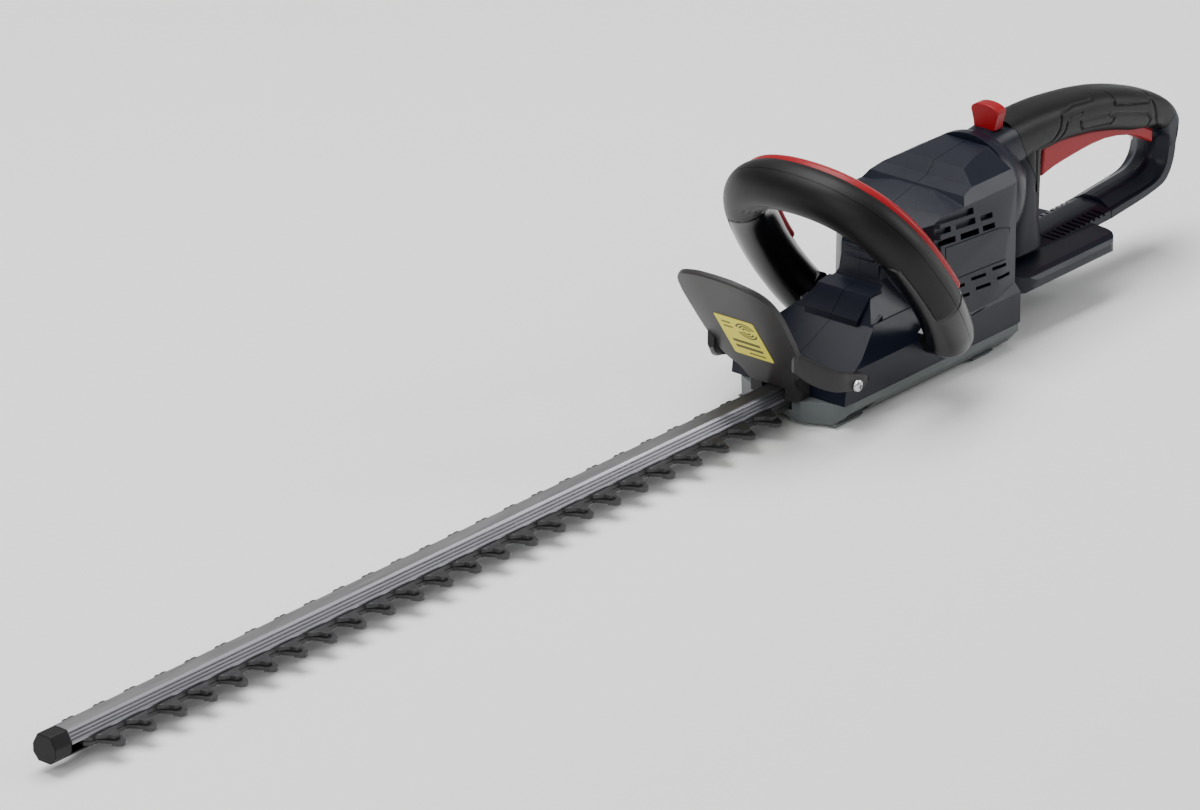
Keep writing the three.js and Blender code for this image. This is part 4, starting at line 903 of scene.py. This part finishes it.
def make_rear_handle():
    whole = join(loft(carved(bar_rings(TOP_BAR, 420, 160))), loft(carved(bar_rings(POST, 150, 120))))
    core = join(loft(core_rings(TOP_BAR, 0, CORE, 120)), loft(core_rings(POST, CORE, 0, 60)))
    trigger_well = [
        (POST_X + 0.4, 55), (B - 20.5, 49), (B - 20.5, 66), (B - 40, 76), (POST_X + 46, 86),
        (POST_X + 0.4, 88),
    ]
    well = prism("y", trigger_well, -9.4, 9.4)
    grip = keep(copy_of(whole), prism("y", GRIP_EDGE, -40, 40))
    cut(grip, copy_of(core), collar(-GAP), button_pocket(), copy_of(well))
    finished(grip, "soft_grip", "rubber", "rear_handle", ["handle_grip"], sharp=40)
    # the shells leave a line of 0.4 mm round the grip and hold it on a core
    shell_edge = [(x - 0.4 * (x < F + 50), z - 0.4 * (x > F + 150)) for x, z in GRIP_EDGE]
    cut(whole, prism("y", shell_edge, -40, 40))
    join(whole, core, collar(0))
    cut(whole, well, button_pocket(), collar(WALL))
    cut(whole, rod("x", 18, F - 1, F + 8, (0, SWIVEL_Z), 48))
    wire_way = [
        (POST_X - 14, 48), (POST_X - 6, 48), (POST_X - 6, 84), (POST_X + 39, 84), (B - 34, 70), (B - 50, 82),
        (B - 104, 93), (POST_X - 14, 94),
    ]
    cut(whole, prism("y", wire_way, -8, 8))
    bend = [(B - 5.5, 58), (B - 4.6, 57), (B - 5.4, 42), (B - 6.3, 43)]
    cut(whole, side_prism(-1, bend, 12.6, 16), side_prism(1, bend, 12.6, 16))
    for place in ((F + 20, 38), (B - 10, 48), (B - 34, 27)):
        cut(whole, rod("y", 3.5, 11, 20, place, 32), rod("y", 1.9, -11, 20, place, 20))
    for side, name in ((-1, "left"), (1, "right")):
        half = one_side(whole, side)
        finished(half, f"handle_{name}", "navy", "rear_handle", [f"rear_handle_{name}"], sharp=36)


def make_trigger():
    x = POST_X
    finger_edge = [
        (x + 2, 62), (x + 8, 63.4), (x + 14, 64.6), (x + 22, 65.5), (x + 31, 66.2), (x + 40, 66.9),
        (x + 48, 67.2), (x + 60, 67), (x + 72, 65.2), (x + 82, 62.6), (x + 90, 59.4), (x + 96, 56.6),
    ]
    inner_edge = [
        (B - 21, 51.5), (B - 21, 59.5), (x + 92, 66), (x + 66, 72), (x + 46, 76), (x + 20, 79), (x + 4, 79),
    ]
    piece = prism("y", finger_edge + inner_edge, -8.5, 8.5)
    finished(piece, "rear_trigger", "red", "trigger", ["trigger"], bevel=1.6, steps=4)


def make_button():
    low, high = span("lock_button")
    foot = low[2]
    half = 9.2
    turn = np.linspace(0.15, math.pi - 0.15, 16)
    fan = [(-6.9, foot), (6.9, foot), (7.5, foot + 4), (half, foot + 10)]
    fan += [(half * math.cos(a), foot + 10.4 + 3.9 * math.sin(a)) for a in turn]
    fan += [(-half, foot + 10), (-7.5, foot + 4)]
    piece = prism("x", fan, low[0], high[0])
    finished(piece, "handle_lock", "red", "lock_button", ["lock_button"], bevel=0.9)


def make_dock():
    back = F + 96
    low = span("battery_dock")[0][2]
    plan = [(F + 22 - 19.5 * math.cos(a), -15 - 19 * math.sin(a)) for a in np.linspace(0.05, 1.55, 12)]
    plan += [(back - 12 + 12 * math.sin(a), -22 - 12 * math.cos(a)) for a in np.linspace(0.05, 1.5, 8)]
    plan += [(x, -y) for x, y in reversed(plan)]
    section = mirrored([
        (31.5, low), (33.4, low + 1.6), (34, low + 3.4), (34, 20), (32.6, 22.4), (29, 23.6), (14, 24.4),
    ])
    whole = keep(prism("x", section, F, back + 1), prism("z", plan, 10, 40))
    join(whole, loft(bar_rings(LOWER_BAR, 60)))
    for k in range(11):                                   # grip ribs on both slopes of the bar
        x = POST_X + 5 + 4.5 * k
        for side in (-1, 1):
            cut(whole, hull([(x + dx + tilt, side * (y + up * 0.6), z + up)
                             for dx in (0, 1.7) for up in (-0.1, 4)
                             for y, z, tilt in ((7.4, 27.1, -1.8), (13.0, 23.9, 2.4))]))
    recess_top = low + 5.5
    cut(whole, box(F + 14, back + 1, -23, 23, low - 3, recess_top))
    cut(whole, box(F + 14, back + 1, -27, 27, low + 2.5, recess_top))
    cut(whole, box(F + 28, back - 6, -10.5, 10.5, recess_top - 1, 25.0))
    finished(whole, "dock", "navy", "rear_handle", ["battery_dock"], bevel=0.6)


# ---------------------------------------------------------------- blades, bar and fasteners
PITCH = 22
TEETH = 24


def tooth_side(x, reach, blunt):
    """One side's outline round a tooth: straight flanks, and a round or a cropped tip."""
    half = 3.3 if blunt else 2.3
    neck = reach - half - 1.5
    if blunt:
        tip = [(half * math.sin(a), reach - half + half * math.cos(a)) for a in np.linspace(-1.45, 1.45, 9)]
    else:
        tip = [(-half, reach - 0.8), (0.9 - half, reach), (half - 0.9, reach), (half, reach - 0.8)]
    points = [(-7.4, 8), (-half - 1, neck), *tip, (half + 1, neck), (7.4, 8)]
    return [(x + dx, y) for dx, y in points]


def grind_tooth(piece, x, reach, face, out, blunt):
    """The ground bevels of the teeth at x: their flanks fall away from the face at height face."""
    fall, inner = 2.75, 1.9
    for side in (-1, 1):
        for hand in (-1, 1):
            root = (x + hand * 7.9, side * 8.6)
            tip = (x + hand * (4.4 if blunt else 3.5), side * (reach - (4.6 if blunt else 0)))
            corners = [(px + hand * dx, py, face + out * dz) for px, py in (root, tip)
                       for dx, dz in ((3, -fall), (3, 3), (-inner, 0.02), (-inner, 3))]
            cut(piece, hull(corners))


def make_blade(name, node, z, reach, blunt):
    lows, highs = span(node)
    yoke_half = 21
    side = [(-BLADE_NOSE, 5), (-10, 8)]
    for i in range(TEETH):
        side += tooth_side(i * PITCH, reach, blunt)
    yoke_front = highs[0] - 54
    side += [(yoke_front - 6, 8), (yoke_front, yoke_half), (highs[0], yoke_half)]
    outline = [(x, -y) for x, y in side] + side[::-1]
    thick = highs[2] - lows[2]
    piece = prism("z", outline, z, z + thick)
    for k in range(1, TEETH, 4):
        ring = ((-1, -0.5), (-0.8, -1), (0.8, -1), (1, -0.5), (1, 0.5), (0.8, 1), (-0.8, 1), (-1, 0.5))
        slot_line = [(k * PITCH + a * 8.3, b * 2.5) for a, b in ring]
        cut(piece, prism("z", slot_line, z - 1, z + thick + 1))
    cut(piece, box(GEAR_X - 21.5, GEAR_X + 21.5, -15.5, 15.5, z - 1, z + thick + 1))
    face, out = (z, -1) if blunt else (z + thick, 1)      # the face away from the other blade
    for i in range(TEETH):
        grind_tooth(piece, i * PITCH, reach, face, out, blunt)
    finished(piece, name, "steel", node.replace("blade_", "") + "_blade", [node], bevel=0.18, steps=2)
    mesh = piece.data
    mesh.materials.append(FINISH["ground"])
    for face in mesh.polygons:
        if 0.15 < abs(face.normal.z) < 0.93 and face.area > 2e-6:
            face.material_index = 1


def make_bar():
    low, high = span("guide_bar")
    top_half, base_half = 4.35, 7.5
    z0, z1 = low[2], high[2]
    flank_low, flank_high = np.array([base_half, z0 + 0.8]), np.array([top_half, z1])
    half = [(2.5, z0), (base_half, z0), tuple(flank_low)]
    slope = flank_high - flank_low
    away = np.array([-slope[1], slope[0]]) / np.linalg.norm(slope)
    for t in (0.16, 0.40, 0.66):
        for dt, depth in ((0, 0), (0.02, 0.55), (0.05, 0.8), (0.08, 0.8), (0.11, 0.55), (0.13, 0)):
            half.append(tuple(flank_low + slope * (t + dt) + away * depth))
    half += [(top_half, z1 - 0.25), (top_half - 0.25, z1)]
    inner = [(2.5, z0 + 1.9), (3.8, z0 + 1.9), (3.8, z0 + 5.0)]
    outline = half + [(-a, b) for a, b in reversed(half)] + [(-a, b) for a, b in inner] + inner[::-1]
    piece = prism("x", outline, low[0], high[0])
    finished(piece, "guide_rail", "aluminium", "housing", ["guide_bar"], sharp=25)
    # faces pointing up take the darker aluminium copy: painted shade on the bar's top
    piece.data.materials.append(FINISH["aluminium_painted_shade"])
    for face in piece.data.polygons:
        if face.normal.z > 0.9:
            face.material_index = 1


def make_cap():
    low, high = span("end_cap")
    bar_low, bar_high = span("guide_bar")
    front, edge = low[0], bar_low[0]
    section = mirrored([(4.0, low[2]), (7.5, low[2] + 4), (7.5, bar_low[2] + 1), (4.35, bar_high[2])])
    whole = prism("x", section, front, edge - GAP)
    skirt = prism("x", section, edge - GAP - 0.1, high[0])
    cut(skirt, box(edge - GAP, high[0] + 5, -30, 30, -2.9, 30))
    tongue = box(edge - 1, edge + 10, -3.5, 3.5, bar_low[2] + 2.2, bar_low[2] + 4.7)
    join(whole, skirt, tongue)
    finished(whole, "tip_cap", "black", "housing", ["end_cap"], bevel=0.9)


def make_bolts():
    for k in range(1, 7):
        node = f"blade_nut_{k}"
        low, high = span(node)
        x, z0, z1 = (low[0] + high[0]) / 2, low[2], high[2]
        corners = [(x + 4.05 * math.cos(a), 4.05 * math.sin(a)) for a in np.arange(6) * math.pi / 3]
        nut = prism("z", corners, z0, z1)
        keep(nut, lathe("z", [(3.3, z0), (4.1, z0 + 0.7), (4.1, z1 - 0.3), (3.8, z1)], (x, 0), 48))
        cut(nut, rod("z", 2.35, z0 - 1, z1 + 1, (x, 0), 32))
        finished(nut, f"lock_nut_{k}", "bright", "housing", [node], sharp=25)


def make_guard_screws():
    for name, side in (("left", -1), ("right", 1)):
        node = f"guard_screw_{name}"
        low, high = span(node)
        x, z = (low[0] + high[0]) / 2, (low[2] + high[2]) / 2
        head, end = (low[1], high[1]) if side < 0 else (high[1], low[1])
        round_head = [(0.6, 0), (2.2, 0.25), (3.1, 0.9), (3.4, 2), (1.7, 2.01)]
        profile = [(r, head - side * deep) for r, deep in round_head] + [(1.7, end)]
        screw = lathe("y", profile, (x, z), 40)
        for wide, tall in ((0.5, 1.9), (1.9, 0.5)):       # the cross in its head
            slit = [(x - wide, z - tall), (x + wide, z - tall), (x + wide, z + tall), (x - wide, z + tall)]
            cut(screw, prism("y", slit, *sorted((head + side, head - side * 1.2))))
        finished(screw, f"wing_screw_{name}", "bright", "housing", [node], sharp=30)


# ---------------------------------------------------------------- CAD pieces that stay
KEPT = {
    "bright": ["crank_shaft", "crank_bearing_lower", "crank_bearing_upper", "motor_pinion"]
    + [f"blade_bolt_{k}" for k in range(1, 7)] + [f"handle_screw_{k}" for k in range(1, 4)],
    "zinc": ["crank_gear", "bar_clamp", "motor_can"],
    "steel": ["eccentric_upper", "eccentric_lower"],
    "aluminium": ["gear_plate"],
    "magnet": ["motor_magnet_left", "motor_magnet_right"],
    "copper": ["motor_rotor"],
    "black": ["motor_endbell", "cooling_fan", "loop_microswitch", "rear_switch", "swivel_collar",
              "terminal_block"],
    "brass": ["terminal_left", "terminal_right"],
    "board": ["control_board"],
}


def paint_kept():
    for finish, names in KEPT.items():
        for name in names:
            mesh = frame["nodes"][name].data
            mesh.materials.clear()
            mesh.materials.append(FINISH[finish])


make_loop()
make_switch_bar()
make_housing()
make_base()
make_guard()
make_sticker()
make_rear_handle()
make_trigger()
make_button()
make_dock()
make_blade("cutter_upper", "blade_upper", 0, 16, False)
make_blade("cutter_lower", "blade_lower", span("blade_lower")[0][2], 20, True)
make_bar()
make_cap()
make_bolts()
make_guard_screws()
paint_kept()
